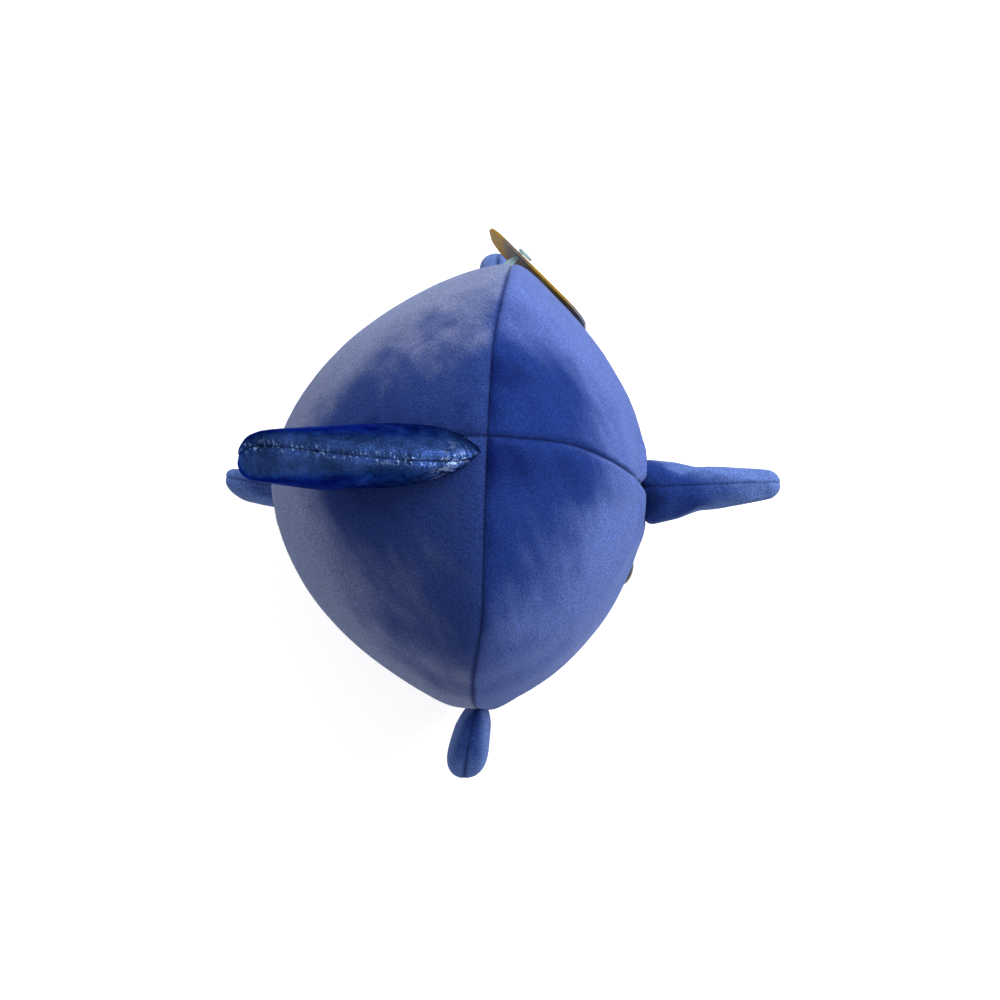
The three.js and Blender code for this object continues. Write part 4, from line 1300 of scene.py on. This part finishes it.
@once
def foil_fabric(name):
    """Knit fabric with a shiny film: dark blue, finely crinkled, with sharp glints.

    Painted highlights sit in its colour: flecks beside the seam, and crease-shaped streaks
    at the front of the root."""
    sheet = NodeSheet(name)
    shade = sheet.noise(11 * MM, detail=3, rough=0.55, warp=0.2)
    blue = sheet.ramp(shade, ((0.30, tone("foil_deep")), (0.72, tone("foil_bright"))))
    crinkle = sheet.noise(2.0 * MM, detail=3, rough=0.6, warp=0.3)
    grain = sheet.noise(0.55 * MM, detail=2, rough=0.75)
    tint_and_glints = sheet.mixed("MULTIPLY", 1.0, blue, sheet.ramp(grain, ((0.28, 0.45), (0.72, 1.0))))
    crinkled = sheet.bump(crinkle, 0.55, 0.6 * MM)
    # Painted highlights: pale flecks beside the seam stand in for glints on the puckers
    across_seam = sheet.stretched((0.8, 2.2, 0.8), (0, 0, 0.3))
    flecks = sheet.noise(0.9 * MM, detail=2, where=across_seam)
    beside_seam = sheet.from_seam(2.6 * MM, ((0.0, 0.0), (0.15, 1.0), (0.40, 0.6), (1.0, 0.0)))
    glinted = sheet.mixed("MULTIPLY", 1.0, sheet.ramp(flecks, ((0.52, 0.0), (0.74, 1.0))), beside_seam)
    tint_and_glints = sheet.mixed("MIX", glinted, tint_and_glints, tone("foil_rubbed"))
    # A painted highlight at the front of the root, in crease-shaped streaks
    along_seam = sheet.stretched((1.8, 0.9, 1.0), (0, 0, 0.4))
    creases = sheet.noise(1.9 * MM, detail=3, rough=0.6, where=along_seam)
    patch = sheet.near_point(tuple(settings().dorsal.bright_patch), 10.5 * MM)
    bright = sheet.mixed("MULTIPLY", 1.0, sheet.ramp(creases, ((0.48, 0.0), (0.62, 1.0))), patch)
    tint_and_glints = sheet.mixed("MIX", bright, tint_and_glints, tone("foil_bare"))
    # Near the seams the colour darkens: the seam's own dark line, with painted shade in its groove
    sheet.set(
        Base_Color=sheet.mixed("MULTIPLY", 1.0, tint_and_glints, sheet.from_seam(0.8 * MM, SEAM_SHADE)),
        Metallic=1.0, Roughness=sheet.ramp(crinkle, ((0.25, 0.28), (0.75, 0.48))),
        Specular_Tint=tone("foil_edge"), Normal=sheet.bump(grain, 0.5, 0.25 * MM, under=crinkled),
    )
    return sheet.material


@once
def fibrefill(name):
    """Loose white polyester fibre."""
    sheet = NodeSheet(name)
    strands = sheet.noise(1.2 * MM, detail=5, rough=0.7, warp=3.0)
    white = tone("fibrefill")
    sheet.set(
        Base_Color=sheet.ramp(strands, ((0.3, shaded(white, 0.72)), (0.6, white))), Roughness=0.95,
        Sheen_Weight=0.3, Normal=sheet.bump(strands, 0.8, 0.8 * MM),
    )
    return sheet.material


@once
def eye_plastic(name):
    """Polished black plastic with faint handling marks."""
    sheet = NodeSheet(name)
    marks = sheet.noise(2.2 * MM, detail=4, rough=0.6)
    black = tone("eye")
    tint = sheet.ramp(marks, ((0.35, black), (0.8, shaded(black, 2.2))))
    sheet.set(
        Base_Color=tint, Roughness=sheet.ramp(marks, ((0.4, 0.05), (0.8, 0.14))),
        Specular_IOR_Level=0.22, Coat_Weight=0.06, Coat_Roughness=0.04,
    )
    return sheet.material


@once
def washer_plastic(name):
    """Moulded natural plastic."""
    sheet = NodeSheet(name)
    flow = sheet.noise(3 * MM, detail=3)
    white = tone("washer")
    tint = sheet.ramp(flow, ((0.3, shaded(white, 0.88)), (0.7, white)))
    sheet.set(Base_Color=tint, Roughness=0.5, Normal=sheet.bump(flow, 0.1, 0.2 * MM))
    return sheet.material


@once
def tag_card(name):
    """Coated card in colour bands along its length: gold, dark by the loop, gold again and grey at the end.
    """
    tag = settings().tag
    sheet = NodeSheet(name)
    way = Vector(JOINTS["tag_swing"]["axis"])
    along = sheet.add("ShaderNodeVectorMath", operation="DOT_PRODUCT")
    sheet.link(sheet.place, along.inputs[0])
    along.inputs[1].default_value = way
    start = Vector(JOINTS["tag_swing"]["pos_m"]).dot(way) - tag.hole_inset
    share = sheet.share(along.outputs["Value"], start, start + tag.width)
    gold, dark, grey = (tone(f"card_{each}") for each in ("gold", "dark", "grey"))
    bands = ((0.0, gold), (0.12, gold), (0.2, dark), (0.36, dark), (0.5, gold), (0.75, gold), (1.0, grey))
    band = sheet.ramp(share, bands)
    fibre = sheet.noise(1.1 * MM, detail=4, rough=0.7)
    sheet.set(
        Base_Color=sheet.mixed("MULTIPLY", 0.5, band, sheet.ramp(fibre, ((0.3, 0.6), (0.7, 1.0)))),
        Roughness=0.5, Specular_IOR_Level=0.05, Normal=sheet.bump(fibre, 0.12, 0.1 * MM),
    )
    return sheet.material


@once
def loop_plastic(name):
    """Clear-tinted plastic, drawn thin."""
    sheet = NodeSheet(name)
    drawn = sheet.noise(1.5 * MM, detail=3, where=sheet.stretched((3.0, 3.0, 0.5), (0, 0, 0.75)))
    teal = tone("loop")
    sheet.set(
        Base_Color=sheet.ramp(drawn, ((0.3, shaded(teal, 0.7)), (0.7, teal))), Roughness=0.22,
        Transmission_Weight=0.35, Normal=sheet.bump(drawn, 0.15, 0.2 * MM),
    )
    return sheet.material


def seen_rays(tree):
    """1 for rays from the camera, and for those that shiny and clear pieces send on, else 0."""
    rays = tree.nodes.new("ShaderNodeLightPath")
    seen = rays.outputs["Is Camera Ray"]
    for kind in ("Is Glossy Ray", "Is Transmission Ray"):
        either = tree.nodes.new("ShaderNodeMath")
        either.operation = "MAXIMUM"
        tree.links.new(seen, either.inputs[0])
        tree.links.new(rays.outputs[kind], either.inputs[1])
        seen = either.outputs[0]
    return seen


def stage_floor():
    """A pale floor that the camera sees as white outside the toy's shadow."""
    stage = settings().stage
    sheet = NodeSheet("stage_floor")
    glow = sheet.add("ShaderNodeMath", operation="MULTIPLY")
    sheet.link(seen_rays(sheet.tree), glow.inputs[0])
    glow.inputs[1].default_value = stage.floor_glow
    grain = sheet.noise(40 * MM, detail=2)
    white = tone("floor")
    sheet.set(
        Base_Color=sheet.ramp(grain, ((0.3, shaded(white, 0.99)), (0.7, white))),
        Roughness=1.0, Specular_IOR_Level=0.0, Emission_Color=(1, 1, 1), Emission_Strength=glow.outputs[0],
    )
    return sheet.material


# Operators

# The deeper seams at the collar, the calm just above the floor, and the small lumps
COLLAR_GROOVE = 0.9
FLOOR_CALM = 6 * MM
BODY_FINE_LUMPINESS = 0.3
BODY_DRAW = 5.1


class PLUSH_OT_body(bpy.types.Operator):
    """Make the four velour body panels and the fibrefill inside them"""
    bl_idname = "plush.body"
    bl_label = "Body"

    def execute(self, context):
        whole = settings()
        fabric = whole.fabric
        shape = whole.body
        points, quads, panels = smoothed(body_skin(shape, 0.0), 2, sharpness=0.4, cap=fabric.body_cap)
        points = strayed_seams(points, shape)
        normals = point_normals(points, quads)
        distance, travelled = seam_field(points, quads, panels)
        from_bill = np.linalg.norm(points - bill_seat(), axis=1)
        deepen = 1 + COLLAR_GROOVE * bell(from_bill - shape.lip_radius, 2 * shape.lip_width)
        off_floor = np.clip(points[:, 2] / FLOOR_CALM, 0, 1)
        fine_lumps = BODY_FINE_LUMPINESS * noise_at(points, FINE_LUMPS * fabric.lump_size, BODY_DRAW)
        lumps = fabric.lump_height * off_floor * (noise_at(points, fabric.lump_size) + fine_lumps)
        lumps += off_floor * collar_folds(points, shape)
        shaped = sewn_shape(points, normals, distance, travelled, whole.body_seam, deepen)
        shaped += normals * (lumps - eye_dimples(points, whole.eye))[:, None]
        shaped[:, 2] = np.maximum(shaped[:, 2], 0)
        holding = Holding("body")
        for first, half in ((0, "front"), (2, "back")):
            mine = (panels == first) | (panels == first + 1)
            nodes = (f"{half}_left_panel", f"{half}_right_panel")
            make_panels(shaped, normals, quads[mine], panels[mine] - first, distance, nodes,
                        velour(half), f"{half}_plush", holding)
        covering = fabric.thickness + fabric.gap + whole.body_seam.groove_depth
        core = body_skin(shape, covering)
        core.points = strayed_seams(core.points, shape)
        make_stuffing(core, "body_stuffing", holding)
        return {"FINISHED"}


def reach_along(node, origin, way):
    """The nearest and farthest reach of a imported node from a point, along a direction."""
    reach = (vertex_array(frame["nodes"][node].data) - origin) @ way
    return float(reach.min()), float(reach.max())


def turned_skin(outline, origin, axes, around):
    """A turned solid from pairs of distance along the first axis and radius."""
    turn = 2 * np.pi * np.arange(around) / around
    ring = np.outer(np.cos(turn), axes[2]) + np.outer(np.sin(turn), axes[1])
    ends = [origin + outline[0][0] * axes[0], origin + outline[-1][0] * axes[0]]
    hoops = [origin + along * axes[0] + radius * ring for along, radius in outline[1:-1]]
    return hooped_skin(ends[0], hoops, ends[1], lambda hoop, step: 0 if step < around // 2 else 1)


def side_axes(first):
    """Three square axes, of which the first is given."""
    first = np.asarray(first) / np.linalg.norm(first)
    second = np.cross((0, 0, 1), first)
    second /= np.linalg.norm(second)
    return first, second, np.cross(first, second)


# The points of an eye's dome, the depth and the share of its radius round its rim, and its shank
DOME_STEPS = 10
EYE_RIM = ((0.25 * MM, 0.93), (0.1 * MM, 0.985))
SHANK_END = 0.8
SHANK_CHAMFER = 0.4 * MM
SHANK_TOP = 0.3 * MM


class PLUSH_OT_eyes(bpy.types.Operator):
    """Make the two safety eyes, each a polished dome on a shank, and finish their washers"""
    bl_idname = "plush.eyes"
    bl_label = "Eyes"

    def execute(self, context):
        eye = settings().eye
        for side in ("left", "right"):
            node = f"{side}_eye"
            middle, outward = eye_frame(side)
            back, top = reach_along(node, middle, outward)
            base = top - eye.height
            turn = np.linspace(0, np.pi / 2, DOME_STEPS)
            dome = [(base + eye.height * math.sin(a), eye.radius * math.cos(a)) for a in turn]
            rim = [(base - depth, share * eye.radius) for depth, share in EYE_RIM]
            shank = [(back, 0.0), (back, SHANK_END * eye.shank_radius),
                     (back + SHANK_CHAMFER, eye.shank_radius), (base - SHANK_TOP, eye.shank_radius)]
            skin = turned_skin(shank + rim + dome, middle, side_axes(outward), eye.around)
            mesh = mesh_of(node, skin.points, skin.faces)
            piece = finished(new_object(f"{node}_dome", mesh), eye_plastic())
            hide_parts(node)
            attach(piece, "body")
            washer = frame["nodes"][f"{side}_eye_washer"]
            washer.data.materials.clear()
            washer.data.materials.append(washer_plastic())
        return {"FINISHED"}


def bill_axes(shape):
    """The bill's own axes: along it, to its left and up."""
    turn = Matrix.Rotation(shape.yaw, 3, "Z") @ Matrix.Rotation(-shape.pitch, 3, "Y")
    return [np.array(turn.col[i]) for i in range(3)]


# Points along the bill's round ends and its taper, and how many skirts long its flare is
ROUND_STEPS = 6
TAPER_STEPS = 15
FLARE_REACH = 1.5


def bill_outline(shape, inset):
    """Pairs of distance and radius from the bill's root, sewn into the collar, to its tip."""
    quarter = np.linspace(0, np.pi / 2, ROUND_STEPS)
    tip = shape.tip_radius - inset
    tip_centre = shape.span - shape.tip_radius
    slope = (shape.tip_radius - shape.root_radius) / tip_centre
    skirt = shape.root_radius - slope * shape.skirt + shape.flare - inset
    back = [(-shape.skirt - (shape.skirt - inset) * math.cos(a), skirt * math.sin(a)) for a in quarter]
    taper = []
    for along in np.linspace(-shape.skirt, tip_centre, TAPER_STEPS)[1:-1]:
        flare = shape.flare * bell(along + shape.skirt, FLARE_REACH * shape.skirt)
        taper.append((along, shape.root_radius + slope * along + flare - inset))
    front = [(tip_centre + tip * math.sin(a), tip * math.cos(a)) for a in quarter]
    return back + taper + front


# The share of the skirt that stays free, the bill's lumps, and its holding's reach about its hinge
FREE_SKIRT = 0.4
BILL_LUMPINESS = 0.15
BILL_BEND_BEFORE = 8 * MM
BILL_BEND_AFTER = 12 * MM


class PLUSH_OT_bill(bpy.types.Operator):
    """Make the bill's two velour panels and its fibrefill"""
    bl_idname = "plush.bill"
    bl_label = "Bill"

    def execute(self, context):
        whole = settings()
        fabric = whole.fabric
        shape = whole.bill
        axes = bill_axes(shape)
        centre = bill_centre()
        skin = turned_skin(bill_outline(shape, 0.0), centre, axes, shape.around)
        along = (skin.points - centre) @ axes[0]
        aside = (skin.points - centre) @ axes[1]
        skin.held = ((along < -FREE_SKIRT * shape.skirt) | (np.abs(aside) < HAIR)).astype(float)
        sewn = sewn_limb(skin, 2, whole.limb_seam, BILL_LUMPINESS)
        holding = hinged("bill", "bill_sway", axes[0], BILL_BEND_BEFORE, BILL_BEND_AFTER)
        nodes = ("bill_left_panel", "bill_right_panel")
        make_panels(*sewn, nodes, velour("bill"), "bill_plush", holding)
        covering = fabric.thickness + fabric.gap + whole.limb_seam.groove_depth
        core = turned_skin(bill_outline(shape, covering), centre, axes, shape.around)
        make_stuffing(core, "bill_stuffing", holding)
        return {"FINISHED"}


# Shares of a fin's length, and the curves of the dorsal fin's shift, flop and seam
DORSAL_ROUNDING = 0.25
TAIL_ROUNDING = 0.22
SIDE_FIN_ROUNDING = 0.35
FRONT_SHIFT = 0.2
SHIFT_GROWTH = 2
FLOP_CURVE = 0.6
WANDER_MIDDLE = 0.77
LIFTED_ROOT = 0.4
STRAY_SHARPNESS = 4
SWELL_AT = 0.6


class PLUSH_OT_dorsal_fin(bpy.types.Operator):
    """Make the dorsal fin's two panels of shiny foil fabric and its fibrefill"""
    bl_idname = "plush.dorsal_fin"
    bl_label = "Dorsal fin"

    def execute(self, context):
        whole = settings()
        shape = whole.dorsal

        def root_at(c):
            turn = shape.front_angle + (shape.rear_angle - shape.front_angle) * c
            points = back_line(whole.body, turn, -whole.limb.tuck)[0]
            points[..., 1] -= shape.side_shift * np.minimum(1, FRONT_SHIFT + SHIFT_GROWTH * c)
            return points

        front = root_at(np.array(0.0))
        rear = root_at(np.array(1.0))
        over = shape.overhang
        rise = shape.tip_rise
        rear_tip = shifted(rear, x=-over, z=rise - shape.tip_chord / 2)
        front_tip = shifted(rear_tip, x=shape.tip_chord / 3, z=shape.tip_chord)
        leading = (front, shifted(front, x=-over / 3, z=rise / 3),
                   shifted(front_tip, x=over, z=shape.tip_chord / 2), front_tip)
        trailing = (rear, shifted(rear, x=-over / 2, z=rise / 4),
                    shifted(rear_tip, x=over / 10, z=-rise / 4), rear_tip)
        upright = pad_middle(leading, trailing, root_at)
        middle_turn = np.array((shape.front_angle + shape.rear_angle) / 2)
        middle_root, outward = back_line(whole.body, middle_turn, 0.0)
        span = float(np.linalg.norm(front_tip - middle_root))

        def middle(t, c):
            points = upright(t, c)
            t, c = np.broadcast_arrays(t, c)
            points[..., 1] -= shape.flop * t ** FLOP_CURVE
            lift = shape.seam_lift * np.maximum(0, 1 - t / LIFTED_ROOT) ** 2
            stray = shape.seam_wander * (t - WANDER_MIDDLE) + lift
            points[..., 1] += stray * (1 - c) ** STRAY_SHARPNESS
            return points

        def half_for(inset):
            return pad_half(shape, span, inset, shape.nose)

        def slide(t):
            return shape.seam_slide * (shape.slide_middle - t)

        nodes = ("dorsal_fin_left_panel", "dorsal_fin_right_panel", "dorsal_fin_stuffing")
        holding = hinged("dorsal_fin", "dorsal_fin_flop", outward, shape.root_radius, shape.root_radius)
        make_fin(middle, half_for, (0, 1, 0), DORSAL_ROUNDING, nodes, foil_fabric(), "foil_fabric",
                 whole.foil_seam, holding, crumple=shape.crumple, slide=slide)
        return {"FINISHED"}


class PLUSH_OT_tail(bpy.types.Operator):
    """Make the tail's two velour panels and its fibrefill"""
    bl_idname = "plush.tail"
    bl_label = "Tail"

    def execute(self, context):
        whole = settings()
        shape = whole.tail

        def root_at(c):
            turn = shape.top_angle + (shape.bottom_angle - shape.top_angle) * c
            return back_line(whole.body, turn, -whole.limb.tuck)[0]

        top = root_at(np.array(0.0))
        bottom = root_at(np.array(1.0))
        upper_tip = shifted(top, x=-shape.span, z=shape.upper_spread)
        lower_tip = np.array([upper_tip[0], 0, bottom[2] - shape.lower_spread])
        upper = (top, shifted(top, x=-shape.span / 2), upper_tip)
        lower = (bottom, shifted(bottom, x=-shape.span / 2), lower_tip)
        forked = pad_middle(upper, lower, root_at)

        def middle(t, c):
            points = forked(t, c)
            points[..., 0] += shape.notch * t ** 3 * (1 - (2 * c - 1) ** 2)
            points[..., 1] += shape.lean * np.broadcast_to(t, points.shape[:2])
            return points

        def half_for(inset):
            return pad_half(shape, shape.span, inset)

        nodes = ("tail_left_panel", "tail_right_panel", "tail_stuffing")
        _, outward = back_line(whole.body, np.array((shape.top_angle + shape.bottom_angle) / 2), 0.0)
        holding = hinged("tail", "tail_wag", outward, shape.root_radius, shape.root_radius)
        make_fin(middle, half_for, (0, 1, 0), TAIL_ROUNDING, nodes, velour("tail"), "tail_plush",
                 whole.limb_seam, holding)
        return {"FINISHED"}


class PLUSH_OT_side_fins(bpy.types.Operator):
    """Make the two panels and the fibrefill of the left and the right side fin"""
    bl_idname = "plush.side_fins"
    bl_label = "Side fins"

    def execute(self, context):
        shape = settings().side_fin
        self.make_side_fin("left_fin", 1, shape.left_droop, shape.left_sweep)
        self.make_side_fin("right_fin", -1, shape.right_droop, shape.right_sweep)
        return {"FINISHED"}

    def make_side_fin(self, name, side, droop, sweep):
        whole = settings()
        shape = whole.side_fin
        body = whole.body
        shrink = math.sqrt(1 - (shape.setback / body.back_depth) ** body.back_fullness)

        def seam_at(turn):
            y, z = seam_point(body, turn)
            x = np.full_like(y, -shape.setback)
            return np.stack([x, side * shrink * y, body.widest_height + shrink * z], axis=-1)

        def outward_at(turn):
            tangent = seam_at(turn + SMALL_TURN) - seam_at(turn - SMALL_TURN)
            tangent /= np.linalg.norm(tangent, axis=-1, keepdims=True)
            return np.stack([0 * tangent[..., 0], -side * tangent[..., 2], side * tangent[..., 1]], axis=-1)

        def root_at(c):
            turn = shape.top_angle + (shape.bottom_angle - shape.top_angle) * c
            return seam_at(turn) - whole.limb.tuck * outward_at(turn)

        top = root_at(np.array(0.0))
        bottom = root_at(np.array(1.0))
        root = root_at(np.array(0.5))
        upper_tip = shifted(root, y=side * shape.span, z=shape.tip_chord / 2 - droop)
        lower_tip = shifted(upper_tip, z=-shape.tip_chord)
        upper_bend = shifted(top + SWELL_AT * (upper_tip - top), z=2 * shape.swell)
        lower_bend = shifted(bottom + SWELL_AT * (lower_tip - bottom), z=-2 * shape.swell)
        straight = pad_middle((top, upper_bend, upper_tip), (bottom, lower_bend, lower_tip), root_at)

        def middle(t, c):
            points = straight(t, c)
            points[..., 0] -= sweep * np.sqrt(np.broadcast_to(t, points.shape[:2]))
            return points

        def half_for(inset):
            return pad_half(shape, shape.span, inset)

        outward = outward_at(np.array((shape.top_angle + shape.bottom_angle) / 2))
        nodes = (f"{name}_front_panel", f"{name}_back_panel", f"{name}_stuffing")
        holding = hinged(name, f"{name}_flap", outward, shape.root_radius, shape.root_radius)
        make_fin(middle, half_for, (1, 0, 0), SIDE_FIN_ROUNDING, nodes, velour("limb"), "side_fin_plush",
                 whole.limb_seam, holding)


def tag_frame():
    """The loop's place in the card, and the axes along the card, out from the body and up."""
    joint = JOINTS["tag_swing"]
    along = np.array(joint["axis"])
    up = np.array([0.0, 0.0, 1.0])
    return np.array(joint["pos_m"]), along / np.linalg.norm(along), np.cross(up, along), up


def rounded_rectangle(left, right, bottom, top, radius, steps=8):
    """Points of a rectangle with round corners."""
    corners = ((right, top, 0), (left, top, 1), (left, bottom, 2), (right, bottom, 3))
    points = []
    for x, z, quarter in corners:
        centre_x = x - math.copysign(radius, x - (left + right) / 2)
        centre_z = z - math.copysign(radius, z - (bottom + top) / 2)
        for step in range(steps + 1):
            turn = (quarter + step / steps) * math.pi / 2
            points.append((centre_x + radius * math.cos(turn), centre_z + radius * math.sin(turn)))
    return points


def circle(x, z, radius, steps=24):
    """Points of a circle."""
    turns = [2 * math.pi * k / steps for k in range(steps)]
    return [(x + radius * math.cos(a), z + radius * math.sin(a)) for a in turns]


def flat_solid(name, outlines, thickness, bevel):
    """A flat solid with rounded edges, from an outline and its holes."""
    curve = bpy.data.curves.new(name, "CURVE")
    curve.dimensions = "2D"
    curve.fill_mode = "BOTH"
    curve.extrude = thickness / 2 - bevel
    curve.bevel_depth = bevel
    curve.bevel_resolution = 1
    curve.offset = -bevel
    for outline in outlines:
        spline = curve.splines.new("POLY")
        spline.points.add(len(outline) - 1)
        spline.points.foreach_set("co", [v for x, z in outline for v in (x, z, 0, 1)])
        spline.use_cyclic_u = True
    piece = new_object(name, curve)
    mesh = bpy.data.meshes.new_from_object(evaluated(piece))
    points = vertex_array(mesh)
    faces = [tuple(face.vertices) for face in mesh.polygons]
    bpy.data.objects.remove(piece)
    bpy.data.curves.remove(curve)
    bpy.data.meshes.remove(mesh)
    return points, faces


def joined(parts):
    """Points and faces of several solids, as one list of each."""
    points = []
    faces = []
    for part_points, part_faces in parts:
        base = sum(len(p) for p in points)
        points.append(np.asarray(part_points))
        faces += [tuple(int(i) + base for i in face) for face in part_faces]
    return np.vstack(points), faces


# The card's edges, and the loop: its taper as shares of its length and width, its neck and its bar
LEAF_BEVEL = 0.08 * MM
LOOP_TAPER = ((1.0, 1.0), (0.7, 0.95), (0.35, 0.7))
NECK_START = 1.5 * MM
LOOP_STEPS = 24
LOOP_SQUARENESS = 0.5
BAR_ROUNDING = 0.6
BAR_END = 0.5


class PLUSH_OT_hang_tag(bpy.types.Operator):
    """Make the blank folded card and the plastic loop that holds it"""
    bl_idname = "plush.hang_tag"
    bl_label = "Hang tag"

    def execute(self, context):
        self.make_card()
        self.make_loop()
        return {"FINISHED"}

    def make_card(self):
        tag = settings().tag
        origin, along, outward, up = tag_frame()
        left = -tag.hole_inset
        bottom = tag.hole_drop - tag.height
        outline = rounded_rectangle(left, left + tag.width, bottom, tag.hole_drop, tag.corner)
        hole_z = tag.loop_thickness / 2 + tag.hole_clearance - tag.hole_radius
        hole = circle(0, hole_z, tag.hole_radius)
        leaf_at = tag.thickness / 2 - tag.leaf / 2
        down = math.sin(tag.tilt) * outward - math.cos(tag.tilt) * up
        face = math.cos(tag.tilt) * outward + math.sin(tag.tilt) * up
        parts = []
        for at in (-leaf_at, leaf_at):
            points, faces = flat_solid("leaf", (outline, hole), tag.leaf, LEAF_BEVEL)
            world = [origin + x * along - z * down + (at + y) * face for x, z, y in points]
            parts.append((world, faces))
        points, faces = joined(parts)
        piece = finished(new_object("hang_tag_card", mesh_of("hang_tag", points, faces)), tag_card())
        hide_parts("hang_tag")
        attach(piece, "hang_tag")

    def make_loop(self):
        tag = settings().tag
        origin, along, outward, up = tag_frame()
        root, tip = reach_along("tag_loop", origin, outward)
        bar_at = min(tag.bar_stand, tip - tag.bar_radius)
        half = tag.loop_thickness / 2
        taper = [(at * root, share * tag.loop_root_width) for at, share in LOOP_TAPER]
        neck = [(at, tag.loop_neck_width) for at in (-NECK_START, 0.0, bar_at)]
        turn = 2 * np.pi * np.arange(LOOP_STEPS) / LOOP_STEPS
        wide = np.sign(np.cos(turn)) * np.abs(np.cos(turn)) ** LOOP_SQUARENESS
        thick = np.sign(np.sin(turn)) * np.abs(np.sin(turn)) ** LOOP_SQUARENESS
        upright = np.outer(half * thick, up)
        hoops = []
        for out, width in taper + neck:
            hoops.append(origin + out * outward + np.outer(width / 2 * wide, along) + upright)
        strap = hooped_skin(hoops[0].mean(0), hoops, hoops[-1].mean(0))
        start, end = (side * tag.bar_length / 2 + tag.bar_length / 4 for side in (-1, 1))
        round_end = BAR_ROUNDING * tag.bar_radius
        end_radius = BAR_END * tag.bar_radius
        outline = ((start, 0), (start, end_radius), (start + round_end, tag.bar_radius),
                   (end - round_end, tag.bar_radius), (end, end_radius), (end, 0))
        bar = turned_skin(outline, origin + bar_at * outward, (along, outward, up), LOOP_STEPS)
        points, faces = joined(((strap.points, strap.faces), (bar.points, bar.faces)))
        piece = finished(new_object("tag_loop_strap", mesh_of("tag_loop", points, faces)), loop_plastic())
        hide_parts("tag_loop")
        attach(piece, "body")


# The floor, and for each light where it stands and how wide it is, in metres
FLOOR_HALF = 3.0
FLOOR_DROP = 0.2 * MM
LIGHTS = {
    "key": ((0.70, 0.50, 0.95), 0.5),
    "fill": ((-0.6, 0.75, 0.8), 1.0),
    "glint": ((0.65, -0.55, 0.7), 0.15),
}


class PLUSH_OT_stage(bpy.types.Operator):
    """Make the pale floor, the soft lights and the camera"""
    bl_idname = "plush.stage"
    bl_label = "Stage"

    def execute(self, context):
        stage = settings().stage
        scene = context.scene
        scene.view_settings.view_transform = "Standard"
        corners = [(x * FLOOR_HALF, y * FLOOR_HALF, 0) for x, y in ((-1, -1), (1, -1), (1, 1), (-1, 1))]
        floor = new_object("floor", mesh_of("floor", corners, [(0, 1, 2, 3)]))
        floor.location.z = -FLOOR_DROP
        floor.data.materials.append(stage_floor())
        self.make_surround(scene, stage)
        for name, (where, size) in LIGHTS.items():
            lamp = self.make_light(name, where, size, getattr(stage, f"{name}_power"))
            lamp.visible_diffuse = name != "glint"
        self.make_camera(scene, stage)
        return {"FINISHED"}

    def make_light(self, name, where, size, power):
        light = bpy.data.lights.new(name, "AREA")
        light.energy = power
        light.size = size
        lamp = new_object(name, light)
        lamp.location = where
        aim = Vector(settings().stage.look_at) - Vector(where)
        lamp.rotation_euler = aim.to_track_quat("-Z", "Y").to_euler()
        return lamp

    def make_surround(self, scene, stage):
        world = bpy.data.worlds.new("surround")
        world.use_nodes = True
        tree = world.node_tree
        background = tree.nodes["Background"]
        lift = tree.nodes.new("ShaderNodeMapRange")
        lift.inputs["To Min"].default_value = stage.surround
        lift.inputs["To Max"].default_value = 1.0
        tree.links.new(seen_rays(tree), lift.inputs["Value"])
        tree.links.new(lift.outputs["Result"], background.inputs["Strength"])
        background.inputs["Color"].default_value = (1, 1, 1, 1)
        scene.world = world

    def make_camera(self, scene, stage):
        lens = bpy.data.cameras.new("camera")
        lens.sensor_width = 36
        lens.lens = stage.lens
        lens.shift_x = stage.shift_x
        lens.shift_y = stage.shift_y
        camera = new_object("camera", lens)
        back = (Vector(stage.look_from) - Vector(stage.look_at)).normalized()
        level = Vector((1, 0, 0))
        level = (level - back * level.dot(back)).normalized()
        upward = back.cross(level)
        right = level * math.cos(stage.roll) - upward * math.sin(stage.roll)
        up = level * math.sin(stage.roll) + upward * math.cos(stage.roll)
        turn = Matrix((right, up, back)).transposed().to_4x4()
        camera.matrix_world = Matrix.Translation(stage.look_from) @ turn
        scene.camera = camera


class PLUSH_PT_sidebar(bpy.types.Panel):
    """Lists the pieces of the plush swordfish"""
    bl_label = "Plush swordfish"
    bl_idname = "PLUSH_PT_sidebar"
    bl_space_type = "VIEW_3D"
    bl_region_type = "UI"
    bl_category = "Plush"

    def draw(self, context):
        for operator in OPERATORS:
            self.layout.operator(operator.bl_idname)


OPERATORS = (PLUSH_OT_stage, PLUSH_OT_body, PLUSH_OT_eyes, PLUSH_OT_bill, PLUSH_OT_dorsal_fin,
             PLUSH_OT_tail, PLUSH_OT_side_fins, PLUSH_OT_hang_tag)
GROUPS = (FabricSettings, BodyShape, BillShape, DorsalShape, TailShape, SideFinShape, LimbFinish, BodySeam,
          LimbSeam, FoilSeam, EyeShape, TagShape, Colours, StageSettings, PlushSettings)
CLASSES = (*GROUPS, *OPERATORS, PLUSH_PT_sidebar)


def register():
    for each in CLASSES:
        bpy.utils.register_class(each)
    bpy.types.Scene.plush_swordfish = PointerProperty(type=PlushSettings)


def unregister():
    del bpy.types.Scene.plush_swordfish
    for each in reversed(CLASSES):
        bpy.utils.unregister_class(each)


def main():
    register()
    for operator in OPERATORS:
        group, name = operator.bl_idname.split(".")
        getattr(getattr(bpy.ops, group), name)()
    bpy.context.view_layer.update()


if __name__ == "__main__":
    main()
